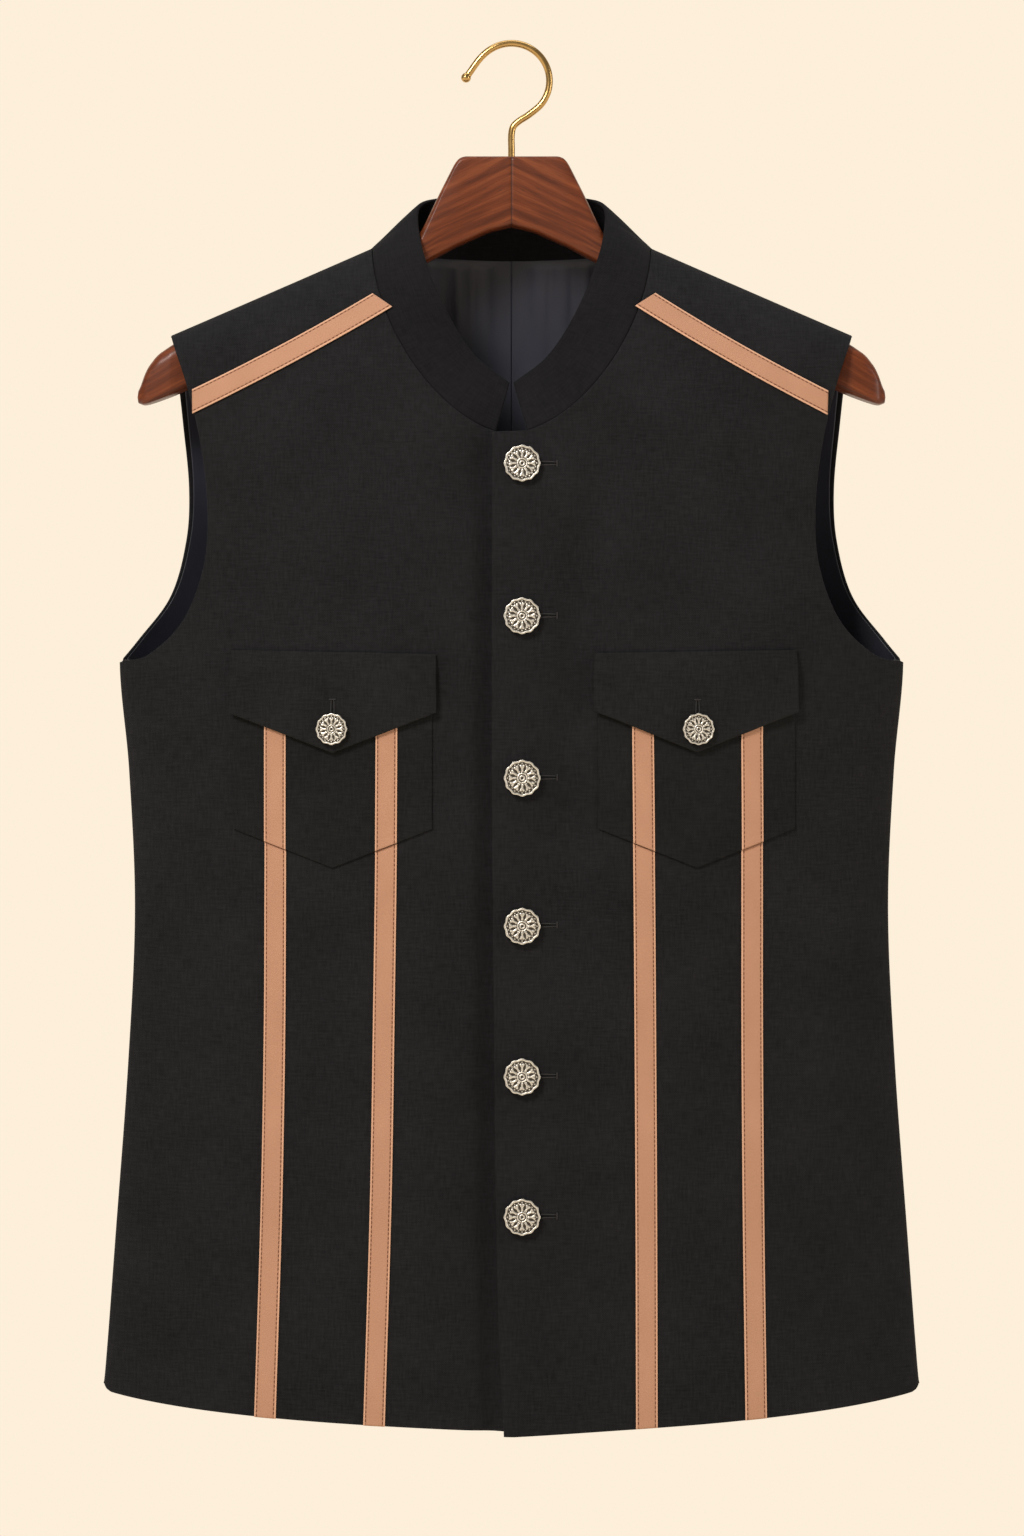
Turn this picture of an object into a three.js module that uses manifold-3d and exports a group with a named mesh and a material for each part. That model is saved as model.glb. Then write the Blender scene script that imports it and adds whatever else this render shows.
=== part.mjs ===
// A sleeveless stand-collar jacket (Nehru waistcoat), buttoned, hanging on a wooden hanger with a brass hook.
// Millimetres, +Z up. The front faces -Y, the wearer's left is +X. The origin is the inside top of the hook,
// where it bears on a rail.
//
// Every cloth piece is a wall. Its outer face is worked out on a grid, its inner face is the same grid moved
// inwards, and what is sewn on a panel is the panel's own surface moved outwards.
import * as THREE from "three";
import { mergeVertices } from "three/addons/utils/BufferGeometryUtils.js";
import Module from "manifold-3d";

const wasm = await Module();
wasm.setup();

// ---------- driving sizes ----------
const SEAM = 0.3; // gap between pieces that are sewn together
const PANEL_WALL = 2.0; // suiting with its interlining
const BACK_WALL = 1.6;
const COLLAR_WALL = 2.6;
const LINING_WALL = 1.0;
const POCKET_WALL = 1.0;
const TAPE_WALL = 1.0;
const FLAP_WALL = 2.0;
const TAPE_WIDTH = 13;

// The body at seven heights: half its width at the side seams, and how far the front and the back stand
// from the plane through the side seams.
const LEVELS = [
  { z: -90, half: 239.8, front: 62, back: 55 },
  { z: -375.5, half: 239.4, front: 64, back: 57 },
  { z: -440, half: 233.8, front: 63, back: 54 },
  { z: -525, half: 230.2, front: 61, back: 50 },
  { z: -618, half: 234.2, front: 59, back: 50 },
  { z: -730, half: 242.4, front: 60, back: 53 },
  { z: -850, half: 251.2, front: 63, back: 57 },
];
const SIDE_POWER = 2.4; // how flat a level section is across the middle
const SIDE_ROUND = 1.5; // how round it is at the side seam: 1 is a sharp fold, 2 an ellipse
const RIDGE_RADIUS = 18; // of the cloth over the hanger's arms
const RIDGE_BLEND = 4;

const NECK = { x: 85, z: -123 }; // where the shoulder seam meets the collar
const TIP = { x: 207, z: -177 }; // where it meets the armhole
const RIDGE_FORWARD = 12; // the hanger bends forwards: its ends stand this far before its middle
const RIDGE_FADE = 70;

const FRONT_DROP = 116; // neck point down to the front neck
const FRONT_NECK_POWER = 1.7;
const FRONT_NECK_START = 9.5; // the collar ends this far from the centre
const BACK_DROP = 4;

const ARMHOLE_FRONT = [
  { x: 239.4, z: -375.5 },
  { x: 221, z: -371.5 },
  { x: 199, z: -351 },
  { x: 186, z: -318 },
  { x: 183.6, z: -285 },
  { x: 187.6, z: -246 },
  { x: 196, z: -210 },
  { x: TIP.x, z: TIP.z },
];
const ARMHOLE_BACK = [
  { x: 239.4, z: -375.5 },
  { x: 229, z: -362 },
  { x: 209.5, z: -334.5 },
  { x: 200, z: -299.5 },
  { x: 198.4, z: -268 },
  { x: 201.8, z: -229 },
  { x: TIP.x, z: TIP.z },
];

const HEM_SIDE = -819; // the hem at the side seams
const HEM_LINEAR = 14; // the hem drops from there to the centre by these two amounts
const HEM_STEEP = 8;
const HEM_BACK_DROP = 14;

// The two fronts. side is the sign of x, lift how far the panel stands out (or is tucked in) where they
// overlap, and edge the height and x of its leading edge.
const FRONTS = [
  {
    name: "front_left",
    side: 1,
    lift: 2.4,
    hem: 0,
    edge: [
      { z: -238.3, x: -11.7 },
      { z: -460, x: -11.7 },
      { z: -610, x: -10.4 },
      { z: -700, x: -9.4 },
      { z: -770, x: -7.9 },
      { z: -841, x: -4.6 },
    ],
  },
  {
    name: "front_right",
    side: -1,
    lift: -2.0,
    hem: 2.5,
    edge: [
      { z: -238.3, x: -24 },
      { z: -540, x: -24 },
      { z: -841, x: -22 },
    ],
  },
];
const LAP_FULL = 12; // the overlap's lift is full up to here and gone by LAP_GONE
const LAP_GONE = 70;

// Soft folds: x at the upper and lower end, how far the line bows sideways, and the fold's depth and half width.
// depth above 0 is a trough. z is the upper and lower end.
const FRONT_FOLDS = [
  { top: -205, bottom: -610, x0: 66, x1: 36, bow: -14, depth: 2.6, wide: 15 },
  { top: -215, bottom: -420, x0: -68, x1: -112, bow: 6, depth: 1.3, wide: 15 },
  { top: -235, bottom: -330, x0: 128, x1: 150, bow: 4, depth: 1.1, wide: 13 },
  { top: -520, bottom: -850, x0: -112, x1: -118, bow: -4, depth: 1.2, wide: 20 },
  { top: -540, bottom: -850, x0: 112, x1: 116, bow: 5, depth: 1.2, wide: 22 },
];
const BACK_FOLDS = [
  { top: -150, bottom: -520, x0: -74, x1: -92, bow: 8, depth: 2.2, wide: 17 },
  { top: -155, bottom: -470, x0: 78, x1: 60, bow: -6, depth: 1.8, wide: 15 },
  { top: -430, bottom: -850, x0: -34, x1: -58, bow: 6, depth: 2.4, wide: 22 },
  { top: -470, bottom: -850, x0: 92, x1: 112, bow: 5, depth: 2.2, wide: 24 },
];

// The collar's upper edge on the wearer's left. turn is 0 at the front end and 1 at the centre back.
const COLLAR_TOP = [
  { turn: 0.0, x: 0.8, y: -35.5, z: -207 },
  { turn: 0.15, x: 22.1, y: -36, z: -190 },
  { turn: 0.3, x: 40, y: -34.5, z: -161.7 },
  { turn: 0.45, x: 52.9, y: -23, z: -128.7 },
  { turn: 0.6, x: 57.6, y: 0, z: -103.5 },
  { turn: 0.66, x: 56.4, y: 11, z: -94.6 },
  { turn: 0.76, x: 47.4, y: 24, z: -90.2 },
  { turn: 0.87, x: 28, y: 31, z: -89.2 },
  { turn: 1.0, x: 0, y: 32.6, z: -89 },
];
const NECK_TURN = 0.6; // the share of a turn at the shoulder seam
const COLLAR_BULGE = 1.2;

// Patch pockets and their flaps, measured on the panel from the centre line.
const POCKETS = [
  { name: "left", side: 1, inner: 51.9, outer: 170.5, top: -380, low: -476.4, point: -500 },
  { name: "right", side: -1, inner: 47.6, outer: 167.2, top: -380, low: -476.6, point: -500 },
];
const FLAPS = [
  { name: "left", side: 1, inner: 50, outer: 171.4, topIn: -371.1, topOut: -368.9, low: -406.1, point: -430.6 },
  { name: "right", side: -1, inner: 45.2, outer: 168.4, topIn: -371.7, topOut: -368.9, low: -406.9, point: -431 },
];
const FLAP_STEP = 0.25; // share of the flap's height over which it climbs onto the pocket

// Upright tapes: x of the centre line at five heights.
const TAPE_HEIGHTS = { chest: -425, waist: -500, hip: -592, seat: -700, hem: -835 };
const TAPES = [
  { name: "left_outer", side: 1, chest: 144.2, waist: 144.6, hip: 144.7, seat: 145.4, hem: 147 },
  { name: "left_inner", side: 1, chest: 78.7, waist: 79.5, hip: 80.2, seat: 80.8, hem: 81.1 },
  { name: "right_inner", side: -1, chest: 74.8, waist: 75.3, hip: 76.6, seat: 78.4, hem: 82.4 },
  { name: "right_outer", side: -1, chest: 141.8, waist: 141.9, hip: 142.4, seat: 144.2, hem: 148.2 },
];
// Shoulder tapes: their centre line, from the collar seam to the armhole, and how far it sags.
const YOKE_TAPES = [
  { name: "left", side: 1, x0: 80.6, z0: -157.6, x1: 190.6, z1: -219.6, sag: 2 },
  { name: "right", side: -1, x0: 77.8, z0: -158, x1: 192.4, z1: -218.8, sag: 2 },
];

const BUTTON = { radius: 11.1, lobes: 12, lobe: 0.3, thick: 2.6, shank: 1.8, x: 6.3 };
const BUTTON_HEIGHTS = [-257.6, -349, -446, -534.6, -625, -709];
const POCKET_BUTTON = { radius: 9.6, lobes: 12, lobe: 0.26, thick: 2.4, shank: 1.4, z: -416.6 };
const POCKET_BUTTON_X = { left: 110.9, right: 106.6 };

// The hanger at each x: its upper and lower edge, half its thickness and the rounding of its upper edge.
const HANGER = [
  { x: 0, top: -67.6, low: -109.9, half: 9, round: 2.5 },
  { x: 13.5, top: -67.6, low: -113, half: 9, round: 2.5 },
  { x: 30, top: -67.6, low: -120.3, half: 9, round: 2.5 },
  { x: 33.5, top: -69.6, low: -122, half: 9.1, round: 3 },
  { x: 44, top: -90.3, low: -127.6, half: 9.3, round: 4 },
  { x: 56, top: -115.2, low: -134, half: 9.8, round: 6 },
  { x: 85, top: -127.8, low: -149.5, half: 11, round: 9 },
  { x: 125, top: -145.4, low: -171, half: 12.2, round: 10 },
  { x: 165, top: -163.1, low: -192.5, half: 12.8, round: 10 },
  { x: 192, top: -175.4, low: -207.2, half: 12.8, round: 10 },
  { x: 206, top: -183.2, low: -213.6, half: 12.4, round: 9 },
  { x: 215, top: -189.4, low: -217, half: 11.6, round: 7 },
  { x: 221.5, top: -198, low: -219.2, half: 10, round: 5 },
  { x: 225.2, top: -208, low: -219.4, half: 7.6, round: 3 },
  { x: 226.6, top: -213, low: -217.6, half: 5, round: 1.5 },
];
const HANGER_LOW_ROUND = 3;

const WIRE = 2.1; // hook wire radius
const BOW = 23.9; // hook bow radius at the top
const BALL = 3;
const STEM_DEPTH = 20; // the stem's length in the wood
const STEM_CLEAR = 0.4;

// ---------- grid sizes ----------
const COLS = 12; // across a front
const SIDE_ROWS = 13; // hem to underarm
const CHEST_ROWS = 5; // underarm to the neck corner
const NECK_ROWS = 9; // along the front neck
const BACK_SHOULDER_COLS = 5;
const BACK_NECK_COLS = 8;
const BACK_ARM_ROWS = 13; // underarm to the shoulder
const SIDE_CROWDING = 0.6; // columns crowd towards the side seam, where the cloth turns
const RIDGE_CROWDING = 0.8; // and rows towards the shoulder, where it turns over the hanger

// ---------- small maths ----------
const mix = (a, b, t) => a + (b - a) * t;
const clamp = (v, low, high) => Math.min(Math.max(v, low), high);
const crowd = (t, how) => mix(t, Math.sin((t * Math.PI) / 2), how); // steps that shorten towards 1
const ease = (v, from, to) => {
  const t = clamp((v - from) / (to - from), 0, 1);
  return t * t * (3 - 2 * t);
};

// A smooth curve through the rows of a table: value of column `key` at `at`, which runs along column `along`.
// Cubic Hermite pieces whose end slopes are those of the chord between the neighbouring rows.
function through(rows, along, key, at) {
  const sign = Math.sign(rows[rows.length - 1][along] - rows[0][along]);
  const v = clamp(at * sign, rows[0][along] * sign, rows[rows.length - 1][along] * sign);
  let i = 0;
  while (i < rows.length - 2 && v > rows[i + 1][along] * sign) i += 1;
  const slope = (k) => {
    const a = rows[Math.max(k - 1, 0)];
    const b = rows[Math.min(k + 1, rows.length - 1)];
    return (b[key] - a[key]) / ((b[along] - a[along]) * sign);
  };
  const from = rows[i];
  const to = rows[i + 1];
  const span = (to[along] - from[along]) * sign;
  const t = (v - from[along] * sign) / span;
  const t2 = t * t;
  const t3 = t2 * t;
  return (
    (2 * t3 - 3 * t2 + 1) * from[key] +
    (t3 - 2 * t2 + t) * span * slope(i) +
    (3 * t2 - 2 * t3) * to[key] +
    (t3 - t2) * span * slope(i + 1)
  );
}

// The point at a share s of the way along a smooth curve through {x, z} points.
function along(points, s) {
  let length = 0;
  const rows = points.map((p, i) => {
    if (i > 0) length += Math.hypot(p.x - points[i - 1].x, p.z - points[i - 1].z);
    return { ...p, length };
  });
  return {
    x: through(rows, "length", "x", s * length),
    z: through(rows, "length", "z", s * length),
  };
}

// ---------- the garment's form ----------
const level = (key, z) => through(LEVELS, "z", key, z);
const ridgeZ = (x) => NECK.z - ((NECK.z - TIP.z) / (TIP.x - NECK.x)) * (Math.abs(x) - NECK.x);
const ridgeY = (x) => -RIDGE_FORWARD * (x / TIP.x) ** 2;

// How far the cloth stands from the side-seam plane: the smaller, smoothly blended, of the level section
// and of the parabola that hangs from the shoulder ridge.
function standOff(x, z, key) {
  const across = Math.min(Math.abs(x) / level("half", z), 1);
  const section = level(key, z) * (1 - across ** SIDE_POWER) ** (1 / SIDE_ROUND);
  const below = Math.max(ridgeZ(x) - z, 0);
  const hanging = Math.sqrt(2 * RIDGE_RADIUS * below);
  if (section * hanging === 0) return 0;
  return (section ** -RIDGE_BLEND + hanging ** -RIDGE_BLEND) ** (-1 / RIDGE_BLEND);
}

function foldDepth(folds, x, z) {
  return folds.reduce((sum, f) => {
    const q = (z - f.top) / (f.bottom - f.top);
    if (q <= 0 || q >= 1) return sum;
    const line = mix(f.x0, f.x1, q) + f.bow * 4 * q * (1 - q);
    const ends = ease(q, 0, 0.25) * (1 - ease(q, 0.6, 1));
    return sum + f.depth * ends * Math.exp(-(((x - line) / f.wide) ** 2));
  }, 0);
}

const plane = (x, z) => ridgeY(x) * Math.exp(-Math.max(ridgeZ(x) - z, 0) / RIDGE_FADE);
const seamCalm = (x, z) => 1 - ease(Math.abs(x) / level("half", z), 0.7, 0.95);

function frontPoint(panel, x, z) {
  const lap = 1 - ease(x * panel.side, LAP_FULL, LAP_GONE);
  const fold = foldDepth(FRONT_FOLDS, x, z) * seamCalm(x, z);
  return new THREE.Vector3(x, plane(x, z) - standOff(x, z, "front") - panel.lift * lap + fold, z);
}
function backPoint(x, z) {
  const fold = foldDepth(BACK_FOLDS, x, z) * seamCalm(x, z);
  return new THREE.Vector3(x, plane(x, z) + standOff(x, z, "back") - fold, z);
}

// The point on a front panel moved out along the panel's normal.
function onFront(panel, x, z, out) {
  const step = 0.5;
  const here = frontPoint(panel, x, z);
  const right = frontPoint(panel, x + step, z).sub(frontPoint(panel, x - step, z));
  const up = frontPoint(panel, x, z + step).sub(frontPoint(panel, x, z - step));
  return here.addScaledVector(right.cross(up).normalize(), out);
}

// ---------- grids and walls ----------
// Normals of a grid of points. On an edge where the cloth turns over (a seam), the normal lies across Y.
function gridNormals(grid, seam) {
  const rows = grid.length;
  const cols = grid[0].length;
  return grid.map((line, r) =>
    line.map((p, c) => {
      const u = grid[r][Math.min(c + 1, cols - 1)].clone().sub(grid[r][Math.max(c - 1, 0)]);
      const v = grid[Math.min(r + 1, rows - 1)][c].clone().sub(grid[Math.max(r - 1, 0)][c]);
      const edge = seam(r, c);
      if (edge === "side") return v.cross(new THREE.Vector3(0, 1, 0)).normalize();
      if (edge === "ridge") return u.cross(new THREE.Vector3(0, 1, 0)).normalize();
      return u.cross(v).normalize();
    }),
  );
}

// A closed solid between two grids of the same size; `ring` joins the last column to the first.
function solidBetween(outer, inner) {
  const rows = outer.length;
  const cols = outer[0].length;
  const points = [...outer.flat(), ...inner.flat()];
  const half = rows * cols;
  const faces = [];
  const quad = (a, b, c, d) => faces.push(a, b, c, a, c, d);
  for (let r = 0; r < rows - 1; r += 1)
    for (let c = 0; c < cols - 1; c += 1) {
      const a = r * cols + c;
      quad(a, a + 1, a + cols + 1, a + cols);
      quad(half + a, half + a + cols, half + a + cols + 1, half + a + 1);
    }
  for (let c = 0; c < cols - 1; c += 1) {
    const top = (rows - 1) * cols + c;
    quad(c, half + c, half + c + 1, c + 1);
    quad(top, top + 1, half + top + 1, half + top);
  }
  for (let r = 0; r < rows - 1; r += 1) {
    const a = r * cols;
    const b = a + cols - 1;
    quad(a, a + cols, half + a + cols, half + a);
    quad(b, half + b, half + b + cols, b + cols);
  }
  return closedGeometry(points, faces);
}

// Indexed triangles as a geometry whose faces point outwards.
function closedGeometry(points, faces) {
  const volume = faces.reduce((sum, _, i) => {
    if (i % 3) return sum;
    const [a, b, c] = [points[faces[i]], points[faces[i + 1]], points[faces[i + 2]]];
    return sum + a.dot(b.clone().cross(c));
  }, 0);
  const ordered = volume < 0 ? faces.slice().reverse() : faces;
  const geometry = new THREE.BufferGeometry().setFromPoints(points);
  geometry.setIndex(ordered);
  return geometry;
}

const moved = (grid, normals, by) =>
  grid.map((line, r) =>
    line.map((p, c) => p.clone().addScaledVector(normals[r][c], typeof by === "function" ? by(r, c) : by)),
  );

// ---------- manifold-3d joins ----------
function toManifold(geometry) {
  const bare = geometry.index ? geometry.toNonIndexed() : geometry.clone();
  bare.deleteAttribute("normal");
  bare.deleteAttribute("uv");
  const merged = mergeVertices(bare, 1e-4);
  return new wasm.Manifold(
    new wasm.Mesh({
      numProp: 3,
      vertProperties: merged.attributes.position.array,
      triVerts: new Uint32Array(merged.index.array),
    }),
  );
}
function toGeometry(solid) {
  const mesh = solid.getMesh();
  const geometry = new THREE.BufferGeometry();
  geometry.setAttribute("position", new THREE.BufferAttribute(mesh.vertProperties, 3));
  geometry.setIndex(new THREE.BufferAttribute(mesh.triVerts, 1));
  return geometry;
}

// ---------- materials ----------
const finish = (color, roughness, metalness = 0) =>
  new THREE.MeshStandardMaterial({ color, roughness, metalness });
const SUITING = finish(0x1b1a1a, 0.85);
const LINING = finish(0x1c1c22, 0.4);
const TAPE = finish(0xb87a55, 0.7);
const SILVER = finish(0xa89e8e, 0.35, 1);
const WALNUT = finish(0x4f2512, 0.35);
const BRASS = finish(0x9c7434, 0.3, 1);

const jacket = new THREE.Group();
function add(name, geometry, material) {
  const mesh = new THREE.Mesh(geometry, material);
  mesh.name = name;
  jacket.add(mesh);
  return mesh;
}

// ---------- fronts ----------
const hemZ = (x, rise) => {
  const r = Math.min(Math.abs(x) / level("half", HEM_SIDE), 1);
  return HEM_SIDE - HEM_LINEAR * (1 - r) - HEM_STEEP * (1 - r ** 4) + rise * (1 - r);
};
const frontNeck = (share) => {
  const start = Math.asin((FRONT_NECK_START / NECK.x) ** (FRONT_NECK_POWER / 2));
  const angle = mix(start, Math.PI / 2, share);
  return {
    x: NECK.x * Math.sin(angle) ** (2 / FRONT_NECK_POWER),
    z: NECK.z - FRONT_DROP * Math.max(Math.cos(angle), 0) ** (2 / FRONT_NECK_POWER),
  };
};

// Both ends of each row of a front, in the panel's own x: leading edge and neck, side seam and armhole.
function frontRows(panel) {
  const corner = panel.edge[0];
  const rows = [];
  const upper = 1 + CHEST_ROWS + NECK_ROWS;
  for (let r = 0; r <= SIDE_ROWS; r += 1) {
    const t = r / SIDE_ROWS;
    const z = mix(hemZ(0, panel.hem), ARMHOLE_FRONT[0].z, t);
    const side = mix(HEM_SIDE, ARMHOLE_FRONT[0].z, t);
    rows.push({ in: { x: through(panel.edge, "z", "x", z), z }, out: { x: level("half", side), z: side } });
  }
  for (let r = 1; r <= upper; r += 1) {
    const out = along(ARMHOLE_FRONT, crowd(r / upper, RIDGE_CROWDING));
    const z = mix(ARMHOLE_FRONT[0].z, corner.z, Math.min(r / CHEST_ROWS, 1));
    const onNeck = r > CHEST_ROWS;
    const neckShare = crowd((r - CHEST_ROWS - 1) / NECK_ROWS, RIDGE_CROWDING);
    rows.push({ in: onNeck ? frontNeck(neckShare) : { x: through(panel.edge, "z", "x", z), z }, out });
  }
  return rows;
}

function makeFront(panel) {
  const rows = frontRows(panel);
  const last = rows.length - 1;
  const grid = rows.map(({ in: a, out: b }, r) =>
    Array.from({ length: COLS + 1 }, (_, c) => {
      const f = crowd(c / COLS, SIDE_CROWDING);
      const x = mix(a.x, b.x, f);
      const bulge = hemZ(x, panel.hem) - mix(hemZ(0, panel.hem), HEM_SIDE, f);
      const z = mix(a.z, b.z, f) + bulge * Math.max(1 - r / SIDE_ROWS, 0);
      const p = frontPoint(panel, x * panel.side, z);
      const onSeam = r === last || (c === COLS && r <= SIDE_ROWS);
      if (onSeam) p.y = plane(x * panel.side, z) - SEAM / 2;
      return p;
    }),
  );
  const seam = (r, c) => (r === last ? "ridge" : c === COLS && r <= SIDE_ROWS ? "side" : "");
  let normals = gridNormals(grid, seam);
  normals = normals.map((line, r) =>
    line.map((n, c) => {
      const away = seam(r, c) === "ridge" ? n.z : seam(r, c) === "side" ? n.x * panel.side : -n.y;
      return away < 0 ? n.negate() : n;
    }),
  );
  const inner = moved(grid, normals, -PANEL_WALL);
  add(panel.name, solidBetween(grid, inner), SUITING);
  const neck = [];
  for (let r = SIDE_ROWS + CHEST_ROWS + 1; r <= last; r += 1) neck.push({ outer: grid[r][0], inner: inner[r][0] });
  return neck;
}
const frontNecks = FRONTS.map(makeFront);

// ---------- back ----------
const BACK_COLS = 2 * BACK_SHOULDER_COLS + BACK_NECK_COLS;

// The back's upper edge: shoulder, neck, shoulder, with x from the wearer's right to left.
function backTop(c) {
  const toNeck = BACK_SHOULDER_COLS;
  if (c < toNeck) return { x: -mix(TIP.x, NECK.x, c / toNeck), z: mix(TIP.z, NECK.z, c / toNeck) };
  if (c > BACK_COLS - toNeck) {
    const t = (BACK_COLS - c) / toNeck;
    return { x: mix(TIP.x, NECK.x, t), z: mix(TIP.z, NECK.z, t) };
  }
  const angle = Math.PI * ((c - toNeck) / BACK_NECK_COLS - 0.5);
  return { x: NECK.x * Math.sin(angle), z: NECK.z - BACK_DROP * Math.cos(angle) ** 2 };
}

function backGrid() {
  const rows = [];
  for (let r = 0; r <= SIDE_ROWS; r += 1) {
    const z = mix(HEM_SIDE, ARMHOLE_BACK[0].z, r / SIDE_ROWS);
    rows.push({ x: level("half", z), z, rise: 0 });
  }
  for (let r = 1; r <= BACK_ARM_ROWS; r += 1) {
    const share = crowd(r / BACK_ARM_ROWS, RIDGE_CROWDING);
    rows.push({ ...along(ARMHOLE_BACK, share), rise: share });
  }
  const last = rows.length - 1;
  return rows.map((row, r) =>
    Array.from({ length: BACK_COLS + 1 }, (_, c) => {
      const u = (2 * c) / BACK_COLS - 1;
      const spread = Math.sign(u) * crowd(Math.abs(u), SIDE_CROWDING);
      const top = backTop(c);
      const x = row.x * mix(spread, top.x / TIP.x, row.rise);
      const hem = -HEM_BACK_DROP * (1 - spread ** 2) * Math.max(1 - r / SIDE_ROWS, 0);
      const z = row.z + row.rise * (top.z - TIP.z) + hem;
      const p = backPoint(x, z);
      const edge = c === 0 || c === BACK_COLS;
      const onNeck = c > BACK_SHOULDER_COLS && c < BACK_COLS - BACK_SHOULDER_COLS;
      if ((r === last && !onNeck) || (edge && r <= SIDE_ROWS)) p.y = plane(x, z) + SEAM / 2;
      return p;
    }),
  );
}
const backOuter = backGrid();
const backSeam = (r, c) => {
  const onNeck = c > BACK_SHOULDER_COLS && c < BACK_COLS - BACK_SHOULDER_COLS;
  if (r === backOuter.length - 1 && !onNeck) return "ridge";
  return (c === 0 || c === BACK_COLS) && r <= SIDE_ROWS ? "side" : "";
};
const backNormals = gridNormals(backOuter, backSeam).map((line, r) =>
  line.map((n, c) => {
    const kind = backSeam(r, c);
    const away = kind === "ridge" ? n.z : kind === "side" ? n.x * (c - BACK_COLS / 2) : n.y;
    return away < 0 ? n.negate() : n;
  }),
);
const backInner = moved(backOuter, backNormals, -BACK_WALL);
add("back", solidBetween(backOuter, backInner), SUITING);

// ---------- lining of the back, in two halves with a seam down the middle ----------
const LINING_GAP = 0.6;
const LINING_MARGIN = 3; // it stops this far inside the back's edges
const LINING_HEM_ROW = 1; // it hangs from the neck to the row above the hem
function makeLining(name, from, to) {
  const rows = backOuter.slice(LINING_HEM_ROW, -1);
  const clear = -(BACK_WALL + LINING_GAP);
  const face = (by) =>
    rows.map((line, i) =>
      Array.from({ length: to - from + 1 }, (_, k) => {
        const r = i + LINING_HEM_ROW;
        const c = from + k;
        const p = line[c].clone().addScaledVector(backNormals[r][c], by);
        const centre = c === BACK_COLS / 2;
        const outermost = c === 0 || c === BACK_COLS;
        if (centre) p.x += (from < BACK_COLS / 2 ? -1 : 1) * (SEAM / 2);
        if (outermost) p.x -= Math.sign(p.x) * LINING_MARGIN;
        if (outermost && r <= SIDE_ROWS) p.y += LINING_MARGIN;
        return p;
      }),
    );
  add(name, solidBetween(face(clear), face(clear - LINING_WALL)), LINING);
}
makeLining("lining_back_right", 0, BACK_COLS / 2);
makeLining("lining_back_left", BACK_COLS / 2, BACK_COLS);

// ---------- collar ----------
function makeCollar() {
  const backRow = backOuter.length - 1;
  const backStations = [];
  for (let c = BACK_SHOULDER_COLS + 1; c < BACK_COLS - BACK_SHOULDER_COLS; c += 1)
    backStations.push({
      outer: backOuter[backRow][c],
      inner: backInner[backRow][c],
      side: Math.sign(c - BACK_COLS / 2),
      turn: mix(NECK_TURN, 1, 1 - Math.abs(c - BACK_COLS / 2) / (BACK_NECK_COLS / 2)),
    });
  const front = (index, side) =>
    frontNecks[index].map((s, i) => ({ ...s, side, turn: (NECK_TURN * i) / NECK_ROWS }));
  const stations = [...front(1, -1), ...backStations, ...front(0, 1).reverse()];
  const heights = [0, 1 / 3, 2 / 3, 1];
  const top = stations.map(
    ({ turn, side }) =>
      new THREE.Vector3(
        through(COLLAR_TOP, "turn", "x", turn) * side,
        through(COLLAR_TOP, "turn", "y", turn),
        through(COLLAR_TOP, "turn", "z", turn),
      ),
  );
  const grid = heights.map((h) =>
    stations.map((s, i) => {
      const rise = top[i].clone().sub(s.outer);
      return s.outer.clone().addScaledVector(rise.clone().normalize(), SEAM).lerp(top[i], h);
    }),
  );
  const middle = new THREE.Vector3(0, 0, -140);
  const normals = gridNormals(grid, () => "").map((line, r) =>
    line.map((n, c) => (n.dot(grid[r][c].clone().sub(middle)) < 0 ? n.negate() : n)),
  );
  const bulged = moved(grid, normals, (r) => COLLAR_BULGE * 4 * heights[r] * (1 - heights[r]));
  const inner = moved(bulged, normals, -COLLAR_WALL);
  inner[0] = stations.map((s, i) => {
    const rise = top[i].clone().sub(s.outer).normalize();
    return s.inner.clone().addScaledVector(rise, SEAM);
  });
  add("collar", solidBetween(bulged, inner), SUITING);
}
makeCollar();

// ---------- pieces sewn on the fronts ----------
// A wall on a front: `at(s, t)` gives the x (in the panel's own sense) and z of the point a share s across
// and t down, and `lift(t)` how far its inner face stands off the panel.
function patch(name, side, at, [cols, rows], lift, wall, material) {
  const panel = FRONTS.find((f) => f.side === side);
  const face = (extra) =>
    Array.from({ length: rows + 1 }, (_, r) =>
      Array.from({ length: cols + 1 }, (_, c) => {
        const { x, z } = at(c / cols, r / rows);
        return onFront(panel, x * side, z, lift(r / rows) + extra);
      }),
    );
  add(name, solidBetween(face(wall), face(0)), material);
}

const veeZ = (p, s) => mix(p.low, p.point, 1 - Math.abs(2 * s - 1));
const pocketEdgeZ = (p, x) => veeZ(p, clamp((x - p.inner) / (p.outer - p.inner), 0, 1));

const POCKET_LIFT = SEAM + 0.1;
for (const p of POCKETS)
  patch(
    `pocket_${p.name}`,
    p.side,
    (s, t) => ({ x: mix(p.inner, p.outer, s), z: mix(p.top, veeZ(p, s), t) }),
    [8, 5],
    () => POCKET_LIFT,
    POCKET_WALL,
    SUITING,
  );

const POCKET_TAPE_LIFT = POCKET_LIFT + POCKET_WALL + SEAM;
const FLAP_LIFT = POCKET_TAPE_LIFT + TAPE_WALL + SEAM + 0.1;
for (const f of FLAPS)
  patch(
    `flap_${f.name}`,
    f.side,
    (s, t) => ({ x: mix(f.inner, f.outer, s), z: mix(mix(f.topIn, f.topOut, s), veeZ(f, s), t) }),
    [8, 4],
    (t) => mix(POCKET_LIFT, FLAP_LIFT, Math.min(t / FLAP_STEP, 1)),
    FLAP_WALL,
    SUITING,
  );

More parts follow.
